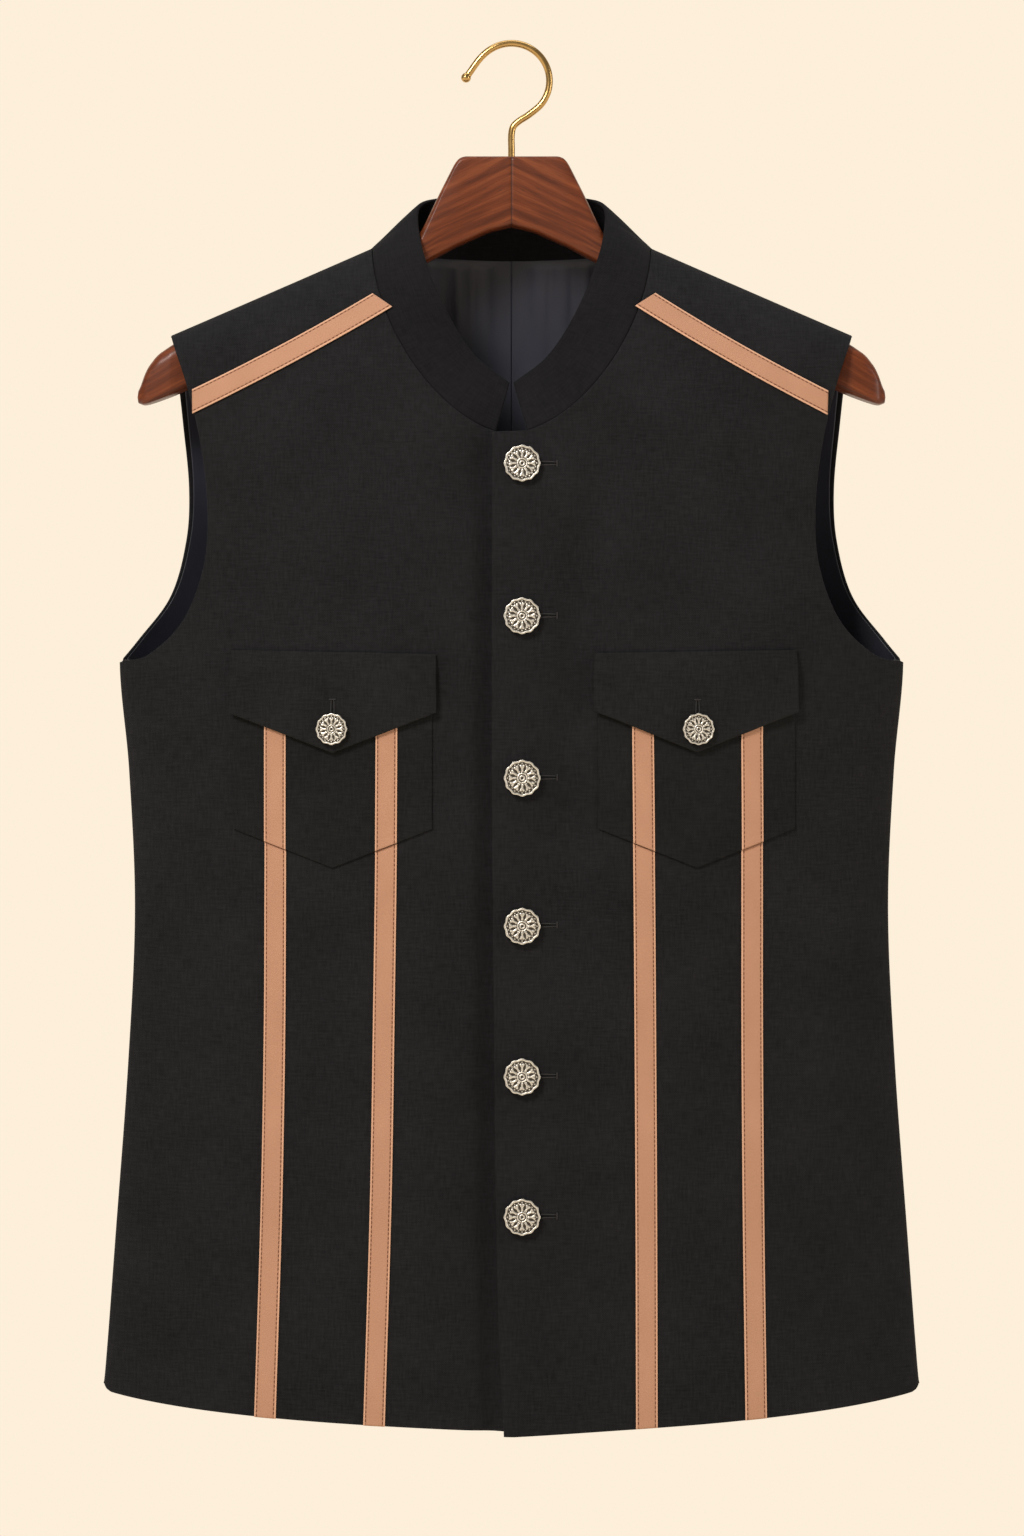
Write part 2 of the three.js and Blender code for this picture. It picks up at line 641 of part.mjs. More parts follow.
const tapeX = (tape, z) => {
  const rows = Object.entries(TAPE_HEIGHTS).map(([key, height]) => ({ z: height, x: tape[key] }));
  return through(rows, "z", "x", z);
};
const TAPE_TOP = -388; // the pocket tapes start under the flap
for (const tape of TAPES) {
  const pocket = POCKETS.find((p) => p.side === tape.side);
  const panel = FRONTS.find((f) => f.side === tape.side);
  const across = (s, z) => tapeX(tape, z) + (s - 0.5) * TAPE_WIDTH;
  patch(
    `tape_pocket_${tape.name}`,
    tape.side,
    (s, t) => {
      const z = mix(TAPE_TOP, pocketEdgeZ(pocket, across(s, TAPE_HEIGHTS.waist)), t);
      return { x: across(s, z), z };
    },
    [1, 5],
    () => POCKET_TAPE_LIFT,
    TAPE_WALL,
    TAPE,
  );
  patch(
    `tape_${tape.name}`,
    tape.side,
    (s, t) => {
      const start = pocketEdgeZ(pocket, across(s, TAPE_HEIGHTS.waist)) - SEAM;
      const z = mix(start, hemZ(across(s, TAPE_HEIGHTS.hem), panel.hem) + SEAM, t);
      return { x: across(s, z), z };
    },
    [1, 14],
    () => POCKET_LIFT,
    TAPE_WALL,
    TAPE,
  );
}

const YOKE_LIFT = 0.8;
for (const y of YOKE_TAPES) {
  const slope = Math.atan2(y.z1 - y.z0, y.x1 - y.x0);
  const lean = { x: Math.sin(slope) * TAPE_WIDTH, z: -Math.cos(slope) * TAPE_WIDTH };
  const endLean = 0.45; // the ends follow the neck seam and the armhole, not the tape's own square
  patch(
    `tape_yoke_${y.name}`,
    y.side,
    (s, t) => {
      const off = t - 0.5;
      const cut = (1 - 2 * s) * endLean * TAPE_WIDTH * off * -1;
      return {
        x: mix(y.x0, y.x1, s) + lean.x * off + cut,
        z: mix(y.z0, y.z1, s) + lean.z * off - y.sag * 4 * s * (1 - s) + cut * Math.tan(slope),
      };
    },
    [8, 1],
    () => YOKE_LIFT,
    TAPE_WALL,
    TAPE,
  );
}

// ---------- buttons ----------
// A disc with a lobed rim and a bevelled face, joined to the shank behind it. It faces -Y at the origin, with
// the shank's foot at y = 0.
function buttonGeometry(b) {
  const count = b.lobes * 3;
  const shape = new THREE.Shape(
    Array.from({ length: count }, (_, i) => {
      const angle = (2 * Math.PI * i) / count;
      const r = b.radius - b.lobe * (1 - Math.cos(b.lobes * angle));
      return new THREE.Vector2(r * Math.sin(angle), r * Math.cos(angle));
    }),
  );
  const disc = new THREE.ExtrudeGeometry(shape, { depth: b.thick, bevelEnabled: false });
  disc.rotateX(Math.PI / 2).translate(0, -b.shank, 0);
  const shank = new THREE.CylinderGeometry(2, 2, b.shank + 1, 12);
  shank.translate(0, -(b.shank + 1) / 2, 0);
  return toGeometry(toManifold(disc).add(toManifold(shank)));
}

function placeButton(name, geometry, panel, x, z, lift) {
  const foot = onFront(panel, x, z, lift);
  const away = onFront(panel, x, z, lift + 1).sub(foot);
  const mesh = add(name, geometry.clone(), SILVER);
  mesh.quaternion.setFromUnitVectors(new THREE.Vector3(0, -1, 0), away.normalize());
  mesh.position.copy(foot);
}
const frontButton = buttonGeometry(BUTTON);
BUTTON_HEIGHTS.forEach((z, i) => placeButton(`button_${i + 1}`, frontButton, FRONTS[0], BUTTON.x, z, SEAM));
const pocketButton = buttonGeometry(POCKET_BUTTON);
for (const f of FRONTS) {
  const name = f.side > 0 ? "left" : "right";
  const lift = FLAP_LIFT + FLAP_WALL + SEAM;
  placeButton(`button_flap_${name}`, pocketButton, f, POCKET_BUTTON_X[name] * f.side, POCKET_BUTTON.z, lift);
}

// ---------- hanger ----------
// Rings of twelve points at each x: the upper edge is rounded more than the lower one.
function hangerRing(row, x) {
  const y = ridgeY(Math.min(Math.abs(x), TIP.x));
  const { top, low, half, round } = row;
  const profile = [
    [half, (top + low) / 2],
    [half, top - round * 0.9],
    [half - round * 0.3, top - round * 0.3],
    [half - round * 0.7, top],
    [-half + round * 0.7, top],
    [-half + round * 0.3, top - round * 0.3],
    [-half, top - round * 0.9],
    [-half, (top + low) / 2],
    [-half, low + Math.min(HANGER_LOW_ROUND, round)],
    [-half + Math.min(HANGER_LOW_ROUND, round), low],
    [half - Math.min(HANGER_LOW_ROUND, round), low],
    [half, low + Math.min(HANGER_LOW_ROUND, round)],
  ];
  return profile.map(([dy, z]) => new THREE.Vector3(x, y + dy, z));
}
function hangerGeometry() {
  const rings = [
    ...HANGER.slice(1).reverse().map((row) => hangerRing(row, -row.x)),
    ...HANGER.map((row) => hangerRing(row, row.x)),
  ];
  const size = rings[0].length;
  const points = rings.flat();
  const faces = [];
  for (let r = 0; r < rings.length - 1; r += 1)
    for (let c = 0; c < size; c += 1) {
      const a = r * size + c;
      const b = r * size + ((c + 1) % size);
      faces.push(a, b, b + size, a, b + size, a + size);
    }
  const end = (rings.length - 1) * size;
  for (let c = 1; c < size - 1; c += 1) {
    faces.push(0, c + 1, c);
    faces.push(end, end + c, end + c + 1);
  }
  return closedGeometry(points, faces);
}

const stemFoot = HANGER[0].top - STEM_DEPTH;
const bore = new THREE.CylinderGeometry(WIRE + STEM_CLEAR, WIRE + STEM_CLEAR, STEM_DEPTH + 10, 16);
bore.rotateX(Math.PI / 2).translate(0, ridgeY(0), stemFoot - 1 + (STEM_DEPTH + 10) / 2);
add("hanger", toGeometry(toManifold(hangerGeometry()).subtract(toManifold(bore))), WALNUT);

// ---------- hook ----------
// The bow is a circle that opens a little at its free end and closes a little towards the stem.
function hookPath() {
  const points = [];
  const steps = 22;
  const free = 174;
  const foot = -42;
  for (let i = 0; i <= steps; i += 1) {
    const angle = mix(free, foot, i / steps);
    const open = Math.max((angle - 90) / (free - 90), 0) ** 6 * 4;
    const close = Math.max((90 - angle) / 135, 0) ** 2 * 1.7;
    const r = BOW + open - close;
    const a = (angle * Math.PI) / 180;
    points.push([r * Math.cos(a), WIRE - BOW + r * Math.sin(a)]);
  }
  points.push([10, -41.9], [4.8, -45.2], [1.2, -48.6], [0, -53.5], [0, -62], [0, -75], [0, stemFoot]);
  return new THREE.CatmullRomCurve3(points.map(([x, z]) => new THREE.Vector3(x, ridgeY(0), z)));
}
function hookGeometry() {
  const path = hookPath();
  const circle = new THREE.Shape(
    Array.from({ length: 8 }, (_, i) => {
      const angle = (Math.PI * (i + 0.5)) / 4;
      return new THREE.Vector2(WIRE * Math.cos(angle), WIRE * Math.sin(angle));
    }),
  );
  const wire = new THREE.ExtrudeGeometry(circle, { steps: 40, extrudePath: path, bevelEnabled: false });
  const ball = new THREE.SphereGeometry(BALL, 12, 8);
  const end = path.getPoint(0);
  ball.translate(end.x, end.y, end.z);
  return toGeometry(toManifold(wire).add(toManifold(ball)));
}
add("hook", hookGeometry(), BRASS);

export default jacket;
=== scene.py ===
"""A sleeveless stand-collar jacket, buttoned, on a wooden hanger with a brass hook.

The cloth has the form of its CAD solids: level sections of the body, blended with the curve in which cloth
hangs from the shoulder ridge, and pushed in and out by soft folds. Lengths in the tables and in the form
functions are millimetres; put() turns them into metres.
"""

import math

import bpy
import numpy as np
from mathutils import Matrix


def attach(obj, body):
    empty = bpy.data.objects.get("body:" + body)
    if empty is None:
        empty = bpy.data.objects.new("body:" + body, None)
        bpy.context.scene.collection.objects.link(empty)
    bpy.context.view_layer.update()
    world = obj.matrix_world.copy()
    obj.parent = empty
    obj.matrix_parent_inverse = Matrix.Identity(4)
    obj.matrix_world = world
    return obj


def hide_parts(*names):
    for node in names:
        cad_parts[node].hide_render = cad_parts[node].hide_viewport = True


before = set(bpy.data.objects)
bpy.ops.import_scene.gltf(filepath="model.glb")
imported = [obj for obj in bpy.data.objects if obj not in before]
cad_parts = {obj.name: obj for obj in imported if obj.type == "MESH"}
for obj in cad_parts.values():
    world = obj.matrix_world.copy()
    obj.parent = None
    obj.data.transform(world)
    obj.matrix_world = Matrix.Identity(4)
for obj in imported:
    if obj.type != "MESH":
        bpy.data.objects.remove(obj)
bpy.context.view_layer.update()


def columns(names, *rows):
    """A short table, as a dictionary of its named columns."""
    return dict(zip(names.split(), np.array(rows, float).T))


# ---------- the body ----------
LEVELS = columns(
    "z half front back",
    (-90, 239.8, 62, 55),
    (-375.5, 239.4, 64, 57),
    (-440, 233.8, 63, 54),
    (-525, 230.2, 61, 50),
    (-618, 234.2, 59, 50),
    (-730, 242.4, 60, 53),
    (-850, 251.2, 63, 57),
)
SIDE_POWER, SIDE_ROUND = 2.4, 1.5
RIDGE_RADIUS, RIDGE_FORWARD, RIDGE_FADE = 18, 12, 70
NECK_X, NECK_Z = 85, -123
TIP_X, TIP_Z = 207, -177
FRONT_DROP, FRONT_NECK_POWER, FRONT_NECK_START = 116, 1.7, 9.5
BACK_DROP = 4
HEM_SIDE, HEM_LINEAR, HEM_STEEP, HEM_BACK = -819, 14, 8, 14
HEM_CORNER = 5
# The gap between two pieces at a seam: half of one sewn edge to edge, and one laid on or sewn over another.
SEWN = 0.02
SEAM = 0.3

ARMHOLE_FRONT = columns(
    "x z",
    (239.4, -375.5),
    (221, -371.5),
    (199, -351),
    (186, -318),
    (183.6, -285),
    (187.6, -246),
    (196, -210),
    (TIP_X, TIP_Z),
)
ARMHOLE_BACK = columns(
    "x z",
    (239.4, -375.5),
    (229, -362),
    (209.5, -334.5),
    (200, -299.5),
    (198.4, -268),
    (201.8, -229),
    (TIP_X, TIP_Z),
)
LEFT = {
    "name": "front_left",
    "side": 1,
    "lift": 2.4,
    "hem": 0,
    "edge": columns(
        "z x", (-238.3, -11.7), (-460, -11.7), (-610, -10.4), (-700, -9.4), (-770, -7.9), (-841, -4.6)
    ),
}
RIGHT = {
    "name": "front_right",
    "side": -1,
    "lift": -2.0,
    "hem": 2.5,
    "edge": columns("z x", (-238.3, -24), (-540, -24), (-841, -22)),
}
LAP_FULL, LAP_GONE = 12, 70
# The cloth dips beside the leading edge: where from the centre line, how deep, and the half width.
HOLLOW_X, HOLLOW_DEPTH, HOLLOW_WIDE = -11, 5.0, 10

# Folds: upper and lower end, x at each, how far the line bows, depth (above 0 a trough) and half width.
FRONT_FOLDS = columns(
    "top bottom x0 x1 bow depth wide",
    (-205, -610, 66, 36, -14, 4.6, 14),
    (-215, -420, -68, -112, 6, 2.6, 15),
    (-235, -330, 128, 150, 4, 2.4, 13),
    (-520, -850, -112, -118, -4, 1.2, 20),
    (-540, -850, 112, 116, 5, 1.2, 22),
)
BACK_FOLDS = columns(
    "top bottom x0 x1 bow depth wide",
    (-150, -520, -74, -92, 8, 2.2, 17),
    (-155, -470, 78, 60, -6, 1.8, 15),
    (-430, -850, -34, -58, 6, 2.4, 22),
    (-470, -850, 92, 112, 5, 2.2, 24),
)
# Small dents pressed into the front by the overlap and the collar seam.
DENTS = columns(
    "x z wide high depth",
    (-24, -262, 10, 34, 2.4),
    (40, -232, 16, 22, 1.2),
    (-205, -372, 12, 16, 0.7),
    (208, -378, 12, 16, 0.7),
)
# Gathers of the satin under the neckband: x, depth and half width.
GATHERS = columns(
    "x depth wide",
    (-66, 2.2, 5),
    (-50, 2.4, 5),
    (-32, 2.6, 4),
    (-17, 1.8, 3.5),
    (18, 2.0, 4),
    (31, 2.2, 4),
    (45, 2.6, 4.5),
    (62, 2.2, 5),
)
COLLAR_TOP = columns(
    "turn x y z",
    (0.0, 0.8, -35.5, -207),
    (0.15, 22.1, -36, -190),
    (0.3, 40, -34.5, -161.7),
    (0.45, 52.9, -23, -128.7),
    (0.6, 57.6, 0, -103.5),
    (0.66, 56.4, 11, -94.6),
    (0.76, 47.4, 24, -90.2),
    (0.87, 28, 31, -89.2),
    (1.0, 0, 32.6, -89),
)
NECK_TURN = 0.6
HALF_COLLAR, COLLAR_HIGH, COLLAR_BULGE = 215, 37, 1.2
FRONT_WALL, BACK_WALL, COLLAR_WALL, LINING_WALL = 2.0, 1.6, 2.6, 0.8
LINING_IN = 2.3
SIDE_CROWDING, RIDGE_CROWDING = 0.6, 0.8


def mix(a, b, t):
    return a + (b - a) * t


def ease(v, start, end):
    """0 before start, 1 after end, smooth between them."""
    t = np.clip((v - start) / (end - start), 0, 1)
    return t * t * (3 - 2 * t)


def crowd(t, how):
    """Shares whose steps shorten towards 1."""
    return mix(t, np.sin(t * np.pi / 2), how)


def smooth(table, run, key, at):
    """A cubic Hermite curve through the rows; a row's slope is that of the chord between its neighbours."""
    x, y = table[run], table[key]
    if x[0] > x[-1]:
        x, y = x[::-1], y[::-1]
    wide_x, wide_y = np.pad(x, 1, "edge"), np.pad(y, 1, "edge")
    slope = (wide_y[2:] - wide_y[:-2]) / (wide_x[2:] - wide_x[:-2])
    at = np.clip(at, x[0], x[-1])
    i = np.clip(np.searchsorted(x, at, "right") - 1, 0, len(x) - 2)
    span = x[i + 1] - x[i]
    t = (at - x[i]) / span
    return (
        (2 * t**3 - 3 * t**2 + 1) * y[i]
        + (t**3 - 2 * t**2 + t) * span * slope[i]
        + (3 * t**2 - 2 * t**3) * y[i + 1]
        + (t**3 - t**2) * span * slope[i + 1]
    )


def along(table, share):
    """The point a share of the way along the smooth curve through an x, z table."""
    length = np.concatenate([[0], np.cumsum(np.hypot(np.diff(table["x"]), np.diff(table["z"])))])
    rows = {"s": length, **table}
    return smooth(rows, "s", "x", share * length[-1]), smooth(rows, "s", "z", share * length[-1])


def half_width(z):
    return smooth(LEVELS, "z", "half", z)


def ridge_z(x):
    return NECK_Z - (NECK_Z - TIP_Z) / (TIP_X - NECK_X) * (np.abs(x) - NECK_X)


def ridge_y(x):
    return -RIDGE_FORWARD * (x / TIP_X) ** 2


def plane(x, z):
    """The side seams' plane, bent forwards towards the shoulder ends."""
    return ridge_y(x) * np.exp(-np.maximum(ridge_z(x) - z, 0) / RIDGE_FADE)


def stand_off(x, z, key):
    """How far the cloth stands from that plane: the smaller, smoothly blended, of the level section
    depth * (1 - |x/half|^2.4)^(1/1.5) and of the hanging curve sqrt(2 * radius * drop below the ridge)."""
    across = np.minimum(np.abs(x) / half_width(z), 1)
    section = smooth(LEVELS, "z", key, z) * (1 - across**SIDE_POWER) ** (1 / SIDE_ROUND)
    hanging = np.sqrt(2 * RIDGE_RADIUS * np.maximum(ridge_z(x) - z, 0))
    return (np.maximum(section, 1e-5) ** -4 + np.maximum(hanging, 1e-5) ** -4) ** -0.25


def fold_depth(folds, x, z):
    """The sum of the folds: each a bell curve across its line, faded in and out along it."""
    total = 0
    for top, bottom, x0, x1, bow, depth, wide in zip(*folds.values()):
        q = (z - top) / (bottom - top)
        line = mix(x0, x1, q) + bow * 4 * q * (1 - q)
        total = total + depth * ease(q, 0, 0.25) * (1 - ease(q, 0.6, 1)) * np.exp(-(((x - line) / wide) ** 2))
    return total


def ripple(x, z):
    """The slight unevenness of hanging cloth: crossed sine waves of 50 to 140 mm."""
    return (
        0.20 * np.sin(x / 17 + 1.3 * np.sin(z / 61)) * np.sin(z / 43 + 0.8)
        + 0.12 * np.sin(x / 9.5 + z / 37) * np.sin(z / 29 + x / 51)
    )


def calm(x, z):
    """1 in the middle of the body, 0 at its side seams and shoulder ridge."""
    return (1 - ease(np.abs(x) / half_width(z), 0.7, 0.95)) * ease(ridge_z(x) - z, 2, 40)


def front_y(panel, x, z):
    lap = 1 - ease(x * panel["side"], LAP_FULL, LAP_GONE)
    pressed = 0
    for dx, dz, wide, high, depth in zip(*DENTS.values()):
        pressed = pressed + depth * np.exp(-(((x - dx) / wide) ** 2) - ((z - dz) / high) ** 2)
    if panel["side"] < 0:
        pressed = pressed + HOLLOW_DEPTH * np.exp(-(((x - HOLLOW_X) / HOLLOW_WIDE) ** 2))
    soft = (fold_depth(FRONT_FOLDS, x, z) + ripple(x, z) + pressed) * calm(x, z)
    return plane(x, z) - stand_off(x, z, "front") - panel["lift"] * lap + soft


def back_y(x, z):
    soft = (fold_depth(BACK_FOLDS, x, z) + ripple(x + 40, z)) * calm(x, z)
    return plane(x, z) + stand_off(x, z, "back") - soft


def on_front(panel, x, z, out=0.0):
    """Points of a front moved out along its normal, and the normals."""
    x, z = np.broadcast_arrays(np.asarray(x, float), np.asarray(z, float))
    d = 0.4
    slope_x = (front_y(panel, x + d, z) - front_y(panel, x - d, z)) / (2 * d)
    slope_z = (front_y(panel, x, z + d) - front_y(panel, x, z - d)) / (2 * d)
    normal = np.stack([slope_x, -np.ones_like(x), slope_z], -1)
    normal /= np.linalg.norm(normal, axis=-1, keepdims=True)
    here = np.stack([x, front_y(panel, x, z), z], -1)
    return here + normal * np.asarray(out)[..., None], normal


# ---------- materials ----------
class Value:
    """A number socket; arithmetic on it adds Math nodes."""

    def __init__(self, finish, socket):
        self.finish, self.socket = finish, socket

    def math(self, operation, *others):
        inputs = dict(enumerate([self, *others]))
        node = self.finish.add("ShaderNodeMath", {"operation": operation}, inputs)
        return Value(self.finish, node.outputs[0])

    def __add__(self, other):
        return self.math("ADD", other)

    def __sub__(self, other):
        return self.math("SUBTRACT", other)

    def __rsub__(self, other):
        return self.math("MULTIPLY", -1.0).math("ADD", other)

    def __mul__(self, other):
        return self.math("MULTIPLY", other)

    __radd__, __rmul__ = __add__, __mul__

    def abs(self):
        return self.math("ABSOLUTE")

    def sin(self):
        return self.math("SINE")

    def step(self, start, end):
        """0 before start, 1 after end, smooth between them."""
        node = self.finish.add(
            "ShaderNodeMapRange",
            {"interpolation_type": "SMOOTHSTEP"},
            {"Value": self, "From Min": start, "From Max": end},
        )
        return Value(self.finish, node.outputs[0])


class Finish:
    """A material and its node tree."""

    def __init__(self, name):
        self.material = bpy.data.materials.new(name)
        self.material.use_nodes = True
        self.tree = self.material.node_tree
        self.tree.nodes.clear()

    def add(self, kind, settings=None, inputs=None):
        """A node of that type: its settings first, then its sockets' values or links."""
        node = self.tree.nodes.new(kind)
        for key, value in (settings or {}).items():
            if key == "stops":
                ramp = node.color_ramp.elements
                while len(ramp) < len(value):
                    ramp.new(0.5)
                for stop, (at, colour) in zip(ramp, value):
                    stop.position = at
                    stop.color = (*colour, 1)
            else:
                setattr(node, key, value)
        for key, value in (inputs or {}).items():
            source = value.socket if isinstance(value, Value) else value
            if isinstance(source, bpy.types.NodeSocket):
                self.tree.links.new(source, node.inputs[key])
            else:
                node.inputs[key].default_value = source
        return node

    def flat(self):
        """The piece's own UV map, which is in millimetres: across and up."""
        uv = self.add("ShaderNodeTexCoord").outputs["UV"]
        split = self.add("ShaderNodeSeparateXYZ", None, {0: uv})
        return Value(self, split.outputs[0]), Value(self, split.outputs[1])

    def place(self):
        """Object coordinates, in millimetres."""
        point = self.add("ShaderNodeTexCoord").outputs["Object"]
        split = self.add("ShaderNodeSeparateXYZ", None, {0: point})
        return [Value(self, out) * 1000.0 for out in split.outputs]

    def vector(self, *parts):
        return self.add("ShaderNodeCombineXYZ", None, dict(enumerate(parts))).outputs[0]

    def noise(self, vector, scale, detail=2.0, distortion=0.0):
        inputs = {"Vector": vector, "Scale": scale, "Detail": detail, "Distortion": distortion}
        return Value(self, self.add("ShaderNodeTexNoise", None, inputs).outputs["Fac"])

    def attribute(self, name):
        return Value(self, self.add("ShaderNodeAttribute", {"attribute_name": name}).outputs["Fac"])

    def ramp(self, value, *stops):
        return self.add("ShaderNodeValToRGB", {"stops": stops}, {0: value}).outputs[0]

    def mix(self, share, a, b):
        """Colour a turning into colour b; each is a colour socket or three numbers."""
        a, b = [c if isinstance(c, bpy.types.NodeSocket) else (*c, 1) for c in (a, b)]
        return self.add("ShaderNodeMix", {"data_type": "RGBA"}, {0: share, 6: a, 7: b}).outputs[2]

    def bump(self, height, strength, distance):
        inputs = {"Height": height, "Strength": strength, "Distance": distance}
        return self.add("ShaderNodeBump", None, inputs).outputs[0]

    def surface(self, colour, roughness, normal=None, **constants):
        """Ends the material in a Principled shader. The constants are set on its own sockets."""
        inputs = {"Base Color": colour, "Roughness": roughness}
        inputs |= {key.replace("_", " "): value for key, value in constants.items()}
        if normal is not None:
            inputs["Normal"] = normal
        shader = self.add("ShaderNodeBsdfPrincipled", None, inputs)
        self.add("ShaderNodeOutputMaterial", None, {"Surface": shader.outputs[0]})
        return self.material


def shade(colour, by):
    return tuple(c * by for c in colour)


def suiting(name, colour):
    """Fine charcoal twill: diagonal ribs 1.1 mm apart, with uneven threads along and across."""
    f = Finish(name)
    u, v = f.flat()
    twill = ((u + v) * (2 * math.pi / 1.1)).sin()
    warp = f.noise(f.vector(u * 0.85, v * 0.11, 0.0), 1.0, 4.0)
    weft = f.noise(f.vector(u * 0.11, v * 0.85, 4.0), 1.0, 4.0)
    cloud = f.noise(f.vector(u * 0.02, v * 0.02, 9.0), 1.0, 2.0)
    threads = (warp + weft) * 0.9 + cloud * 0.5 + twill * 0.05 - 0.65
    tone = f.mix(threads, shade(colour, 0.40), shade(colour, 1.60))
    height = twill * 0.35 + (warp + weft) * 0.9
    return f.surface(
        tone,
        0.86 - cloud * 0.08,
        f.bump(height, 0.5, 0.0002),
        Specular_IOR_Level=0.10,
        Sheen_Weight=0.015,
        Sheen_Roughness=0.6,
    )


def satin(name, colour):
    """Smooth lining satin: faint long floats, a soft gloss, and painted shade that darkens it away from the
    neck.
    """
    f = Finish(name)
    u, v = f.flat()
    floats = f.noise(f.vector(u * 2.2, v * 0.1, 0.0), 1.0, 3.0)
    cloud = f.noise(f.vector(u * 0.025, v * 0.018, 3.0), 1.0, 3.0)
    tone = f.mix(cloud * 0.8 + floats * 0.3 - 0.05, shade(colour, 0.55), shade(colour, 1.6))
    # Painted shade: below the neck the satin is painted darker, most below z = -330 mm, where less light
    # reaches inside the jacket.
    tone = f.mix((1 - v.step(-330, -190)) * 0.6, tone, shade(colour, 0.1))
    return f.surface(tone, 0.38 + floats * 0.12, f.bump(floats, 0.25, 0.0002), Specular_IOR_Level=0.45)


def tape_cloth(name):
    """Copper-tan grosgrain tape; u is 0 to 13 mm across. Its folded edges are painted paler, a painted
    highlight, and its stitch grooves darker, a painted shade.
    """
    f = Finish(name)
    u, v = f.flat()
    ribs = (v * (2 * math.pi / 0.8)).sin()
    grain = f.noise(f.vector(u * 1.5, v * 1.5, 0.0), 1.0, 4.0)
    cloud = f.noise(f.vector(u * 0.05, v * 0.03, 2.0), 1.0, 2.0)
    tone = f.mix(grain * 0.7 + cloud * 0.5 - 0.1, (0.405, 0.200, 0.114), (0.60, 0.318, 0.200))
    # Painted highlight: the outer millimetre of each folded edge is painted paler.
    edge = (u - 6.5).abs().step(5.3, 6.1)
    tone = f.mix(edge * 0.75, tone, (0.82, 0.47, 0.30))
    # Painted shade: the groove under each row of stitches is painted dark brown.
    groove = 1 - ((u - 6.5).abs() - 5.1).abs().step(0.1, 0.55)
    tone = f.mix(groove * 0.45, tone, (0.26, 0.10, 0.05))
    height = ribs * 0.2 + grain * 0.5 - groove * 0.8
    return f.surface(tone, 0.78, f.bump(height, 0.5, 0.0003), Specular_IOR_Level=0.2, Sheen_Weight=0.05)


def thread(name, colour):
    f = Finish(name)
    x, y, z = f.place()
    twist = f.noise(f.vector(x, y, z), 3.0, 2.0)
    tone = f.mix(twist, shade(colour, 0.6), shade(colour, 1.4))
    return f.surface(tone, 0.8, f.bump(twist, 0.3, 0.0002), Specular_IOR_Level=0.2)


def antique_silver(name):
    """Cast metal, dark in its recesses: `relief` is 0 in them and 1 on the raised work."""
    f = Finish(name)
    x, y, z = f.place()
    relief = f.attribute("relief")
    grain = f.noise(f.vector(x, y, z), 1.6, 5.0)
    wear = (relief + (grain - 0.5) * 0.5).step(0.12, 0.62)
    tone = f.mix(wear, (0.075, 0.061, 0.046), (0.80, 0.745, 0.65))
    return f.surface(tone, 0.58 - wear * 0.24, f.bump(grain, 0.25, 0.0003), Metallic=0.9)


def walnut(name):
    """Dark walnut, satin varnish. The grain runs along each arm and meets in a chevron at the middle."""
    f = Finish(name)
    x, y, z = f.place()
    arm = x.abs()
    run, across = arm * 0.91 - z * 0.41, arm * 0.41 + z * 0.91
    wave = f.noise(f.vector(run * 0.012, across * 0.035, y * 0.03), 1.0, 2.0)
    figure = f.noise(f.vector(run * 0.02, across * 0.26 + wave * 3.0, y * 0.1), 1.0, 5.0, 0.5)
    pores = f.noise(f.vector(run * 0.11, across * 1.9, y * 1.2), 1.0, 3.0)
    tone = f.ramp(
        figure,
        (0.30, (0.072, 0.015, 0.004)),
        (0.44, (0.118, 0.025, 0.006)),
        (0.56, (0.162, 0.036, 0.009)),
        (0.72, (0.225, 0.058, 0.017)),
    )
    tone = f.mix(pores.step(0.56, 0.72) * 0.55, tone, (0.045, 0.014, 0.007))
    mitre = 1 - arm.step(0.1, 0.7)
    tone = f.mix(mitre * 0.7, tone, (0.03, 0.01, 0.006))
    return f.surface(
        tone,
        0.36 + pores * 0.12,
        f.bump(pores * -1.0, 0.15, 0.0003),
        Specular_IOR_Level=0.25,
        Coat_Weight=0.15,
        Coat_Roughness=0.22,
    )


def brass(name):
    f = Finish(name)
    x, y, z = f.place()
    haze = f.noise(f.vector(x, y, z), 0.12, 4.0)
    tone = f.mix(haze, (0.42, 0.245, 0.075), (0.72, 0.46, 0.18))
    return f.surface(tone, 0.16 + haze * 0.14, Metallic=1.0)


SUITING = suiting("charcoal_suiting", (0.0121, 0.0116, 0.0124))
# Painted shade: the collar is the body's suiting painted darker, where less light falls on the leaning
# neckband.
COLLAR_SUITING_PAINTED_SHADE = suiting("collar_suiting_painted_shade", (0.0080, 0.0073, 0.0082))
# Painted shade: the pockets are the body's suiting painted a little darker, as less light reaches them.
POCKET_SUITING_PAINTED_SHADE = suiting("pocket_suiting_painted_shade", (0.0106, 0.0103, 0.0101))
FLAP_SUITING = suiting("flap_suiting", (0.0121, 0.0117, 0.0116))
SATIN = satin("lining_satin", (0.029, 0.0295, 0.043))
TAPE = tape_cloth("copper_tape")
TAPE_THREAD = thread("brown_thread", (0.145, 0.052, 0.026))
BLACK_THREAD = thread("black_thread", (0.030, 0.028, 0.028))
# Painted shade: a near-black cord laid in each buttonhole's slit, where shade falls.
SLIT_PAINTED_SHADE = thread("buttonhole_slit_painted_shade", (0.002, 0.002, 0.002))
SILVER = antique_silver("antique_silver")
WALNUT = walnut("walnut")
BRASS = brass("hook_brass")


